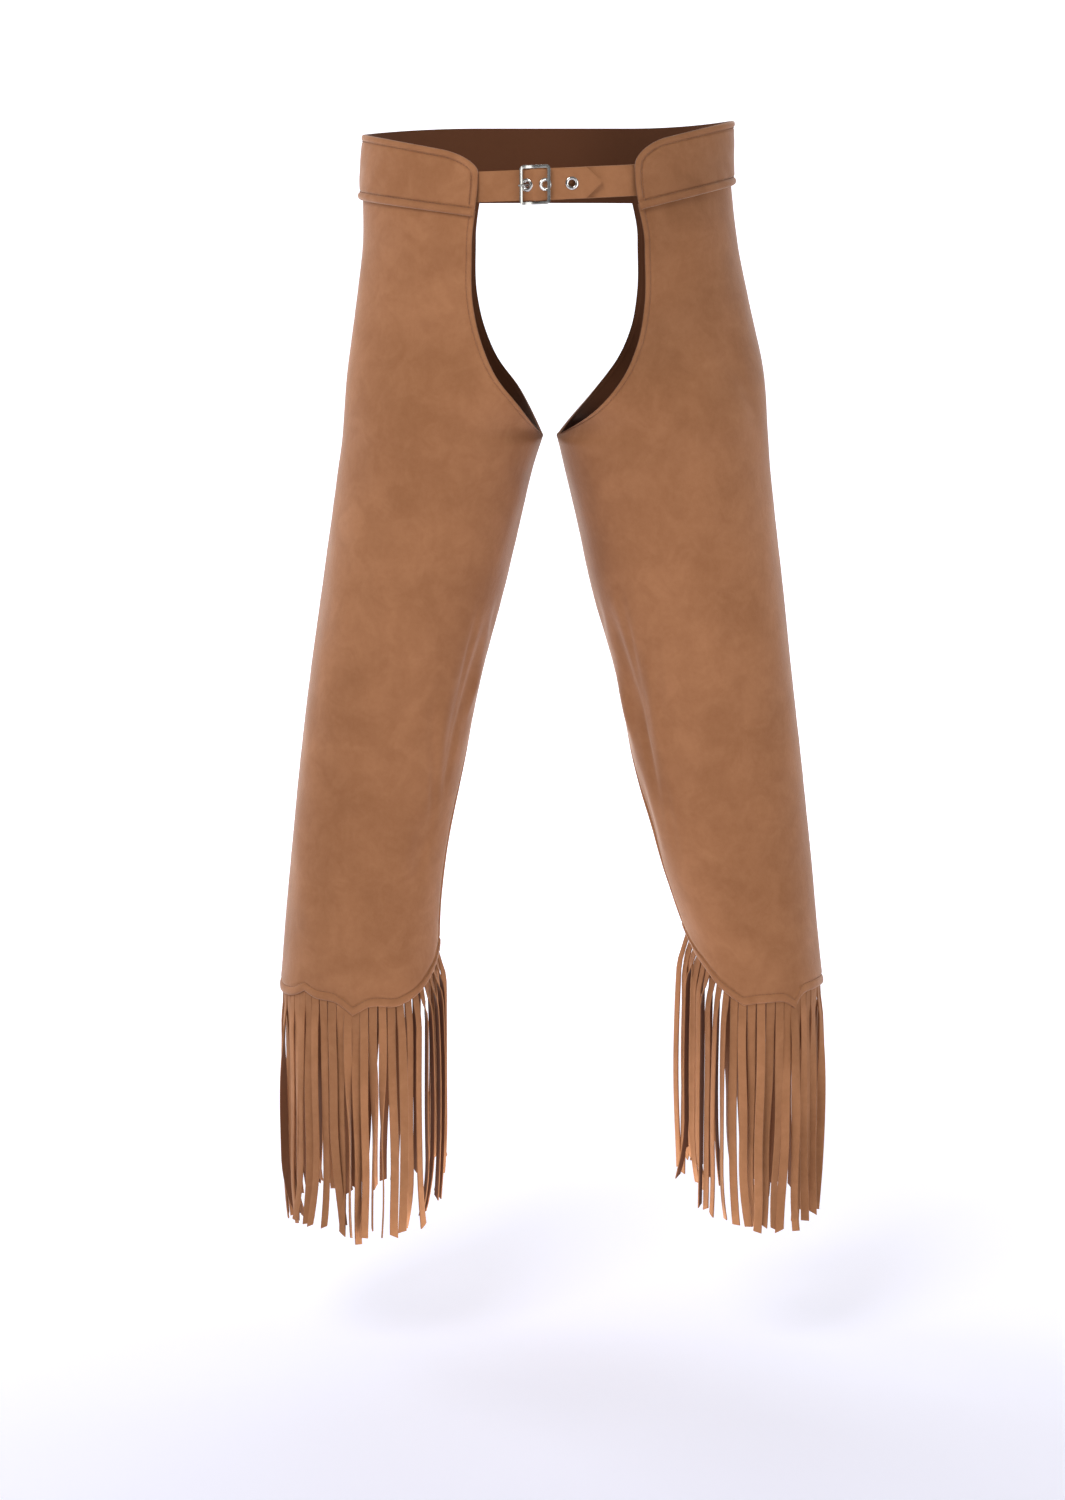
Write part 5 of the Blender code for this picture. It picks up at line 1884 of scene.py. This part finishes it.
LAMPS = (
    Lamp("key", (-1.2, -2.3, 1.9), (1.4, 1.4), 54.0, (-0.1, 0.0, -0.40)),
    Lamp("fill", (1.6, -2.6, -0.2), (1.6, 1.6), 22.0, (0.1, 0.0, -0.60)),
    Lamp("back_left", (-2.3, 1.3, 0.3), (1.2, 2.4), 34.0, (0.0, 0.0, -0.4)),
    Lamp("back_right", (2.3, 1.3, 0.3), (1.2, 2.4), 14.0, (0.0, 0.0, -0.4)),
    Lamp("bounce", (-0.005, -0.02, -0.99), (0.25, 0.3), 1.1, (-0.005, -0.02, -0.35)),
)


@dataclass(frozen=True)
class Studio:
    """A plain pale sweep of floor and wall, soft lights and the camera at the photo's angle.

    The paper glows less round a dim spot in front, and the room is dimmer towards the camera.
    """

    lens: float = 83.36
    sensor: float = 36.0
    pitch: float = math.radians(10.2)
    stand: Spot = (-0.015, -3.0, 0.049)
    front: float = -8.0
    wall: float = 6.5
    wall_top: float = 6.0
    bend: float = 2.0
    bend_steps: int = 12
    half_width: float = 9.0
    paper: Spot = (0.70, 0.70, 0.82)
    paper_roughness: float = 0.7
    dim_spot: Spot = (0.0, -0.9, FLOOR_HEIGHT)
    dim_reach: Span = (0.4, 3.2)
    glow: Span = (0.16, 0.95)
    glow_cast: float = 0.72
    room: Spot = (0.98, 0.985, 1.0)
    room_reach: Span = (-0.9, 0.1)
    room_light: Span = (0.10, 0.48)

    def build(self) -> None:
        """Make the stage, the lights and the camera."""
        self.sweep()
        self.camera()
        for lamp in LAMPS:
            lamp.build()
        self.surroundings()
        bpy.context.scene.view_settings.view_transform = "Standard"

    def surroundings(self) -> None:
        """Make the room's soft light, and show the camera a white room."""
        world = bpy.data.worlds.new("studio")
        world.use_nodes = True
        tree = world.node_tree
        room = tree.nodes["Background"]
        room.inputs["Color"].default_value = (*self.room, 1)
        way = tree.nodes.new("ShaderNodeTexCoord")
        parts = tree.nodes.new("ShaderNodeSeparateXYZ")
        tree.links.new(way.outputs["Generated"], parts.inputs["Vector"])
        light = add_range(tree, parts.outputs["Y"], self.room_reach, self.room_light)
        seen = tree.nodes.new("ShaderNodeLightPath")
        shown = add_node(tree, "ShaderNodeMix", values={"B": 1.0})
        tree.links.new(light, shown.inputs["A"])
        tree.links.new(seen.outputs["Is Camera Ray"], shown.inputs["Factor"])
        tree.links.new(shown.outputs["Result"], room.inputs["Strength"])
        bpy.context.scene.world = world

    def sweep(self) -> None:
        """Make the floor that curves up into a wall."""
        foot = self.wall - self.bend
        profile = [(self.front, FLOOR_HEIGHT), (foot, FLOOR_HEIGHT)]
        for k in range(1, self.bend_steps + 1):
            turn = math.pi / 2 * k / self.bend_steps
            rise = self.bend * (1 - math.cos(turn))
            profile.append((foot + self.bend * math.sin(turn), FLOOR_HEIGHT + rise))
        profile.append((self.wall, self.wall_top))
        built = bmesh.new()
        rows = [[built.verts.new((x, y, z)) for x in (-self.half_width, self.half_width)] for y, z in profile]
        for one, two in zip(rows, rows[1:]):
            built.faces.new((one[0], one[1], two[1], two[0]))
        mesh = bpy.data.meshes.new("sweep")
        built.to_mesh(mesh)
        built.free()
        smooth_faces(mesh)
        new_piece("sweep", mesh, self.glowing_paper())

    def glowing_paper(self) -> bpy.types.Material:
        """Return pale paper that glows as a lit backdrop does."""
        made, tree, shader = new_material("pale_paper")
        shader.inputs["Base Color"].default_value = (*self.paper, 1)
        shader.inputs["Roughness"].default_value = self.paper_roughness
        place = tree.nodes.new("ShaderNodeTexCoord")
        reach = add_node(tree, "ShaderNodeVectorMath", {"operation": "DISTANCE"}, {1: self.dim_spot})
        tree.links.new(place.outputs["Object"], reach.inputs[0])
        glow = add_range(tree, reach.outputs["Value"], self.dim_reach, self.glow)
        tree.links.new(glow, shader.inputs["Emission Color"])
        seen = tree.nodes.new("ShaderNodeLightPath")
        cast = add_range(tree, seen.outputs["Is Camera Ray"], (0.0, 1.0), (self.glow_cast, 1.0))
        tree.links.new(cast, shader.inputs["Emission Strength"])
        return made

    def camera(self) -> None:
        """Add the camera."""
        view = bpy.data.cameras.new("camera")
        view.lens = self.lens
        view.sensor_width = self.sensor
        holder = bpy.data.objects.new("camera", view)
        holder.location = self.stand
        holder.rotation_euler = (math.pi / 2 - self.pitch, 0, 0)
        bpy.context.scene.collection.objects.link(holder)
        bpy.context.scene.camera = holder


LEG_SUEDE = SuedeFinish("suede", light=(0.425, 0.194, 0.090), dark=(0.270, 0.112, 0.047))
STRAND_SUEDE = SuedeFinish(
    "strand_suede", light=(0.490, 0.226, 0.106), dark=(0.320, 0.138, 0.060), sheen=0.25)
STRAP_SUEDE = SuedeFinish(
    "strap_suede", light=(0.400, 0.182, 0.084), dark=(0.270, 0.114, 0.048), sheen=0.25)
BUCKLE_SILVER = MetalFinish("buckle_silver", colour=(0.44, 0.43, 0.40), polish=0.16, dull=0.32)
EYELET_SILVER = MetalFinish("eyelet_silver", polish=0.10, dull=0.22)


def main() -> None:
    """Build every piece of the chaps and the studio, in order."""
    logging.basicConfig(level=logging.INFO, format="%(message)s")
    suede = LEG_SUEDE.material()
    strand_suede = STRAND_SUEDE.material()
    strap_suede = STRAP_SUEDE.material()
    thread = ThreadFinish().material()
    frame_metal = BUCKLE_SILVER.material()
    eyelet_metal = EYELET_SILVER.material()

    seed = FIRST_FRINGE_SEED
    for side in Side:
        yoke = Yoke(side, suede)
        yoke.build()
        lines = yoke.stitch_lines()
        panels = []
        for face in Face:
            panel = LegPanel(side, face, suede)
            panel.build()
            fringe = Fringe(panel, strand_suede, seed)
            seed += 1
            panels.append((panel, fringe.build()))
            lines += panel.stitch_lines()
        stitches = Stitching(f"stitching_{side.value}", thread).build(lines)
        for panel, strands in panels:
            panel.declare([strands])
        yoke.declare([stitches])

    belt = BeltForm()
    straps = Straps(belt, strap_suede)
    straps.point_strap()
    straps.buckle_strap()
    buckle = Buckle(belt, frame_metal, eyelet_metal)
    buckle.frame_piece()
    buckle.copied("buckle_bar")
    buckle.copied("buckle_prong")
    for number, place in enumerate(belt.eyelets, 1):
        buckle.eyelet(number, place)
    Studio().build()


if __name__ == "__main__":
    main()
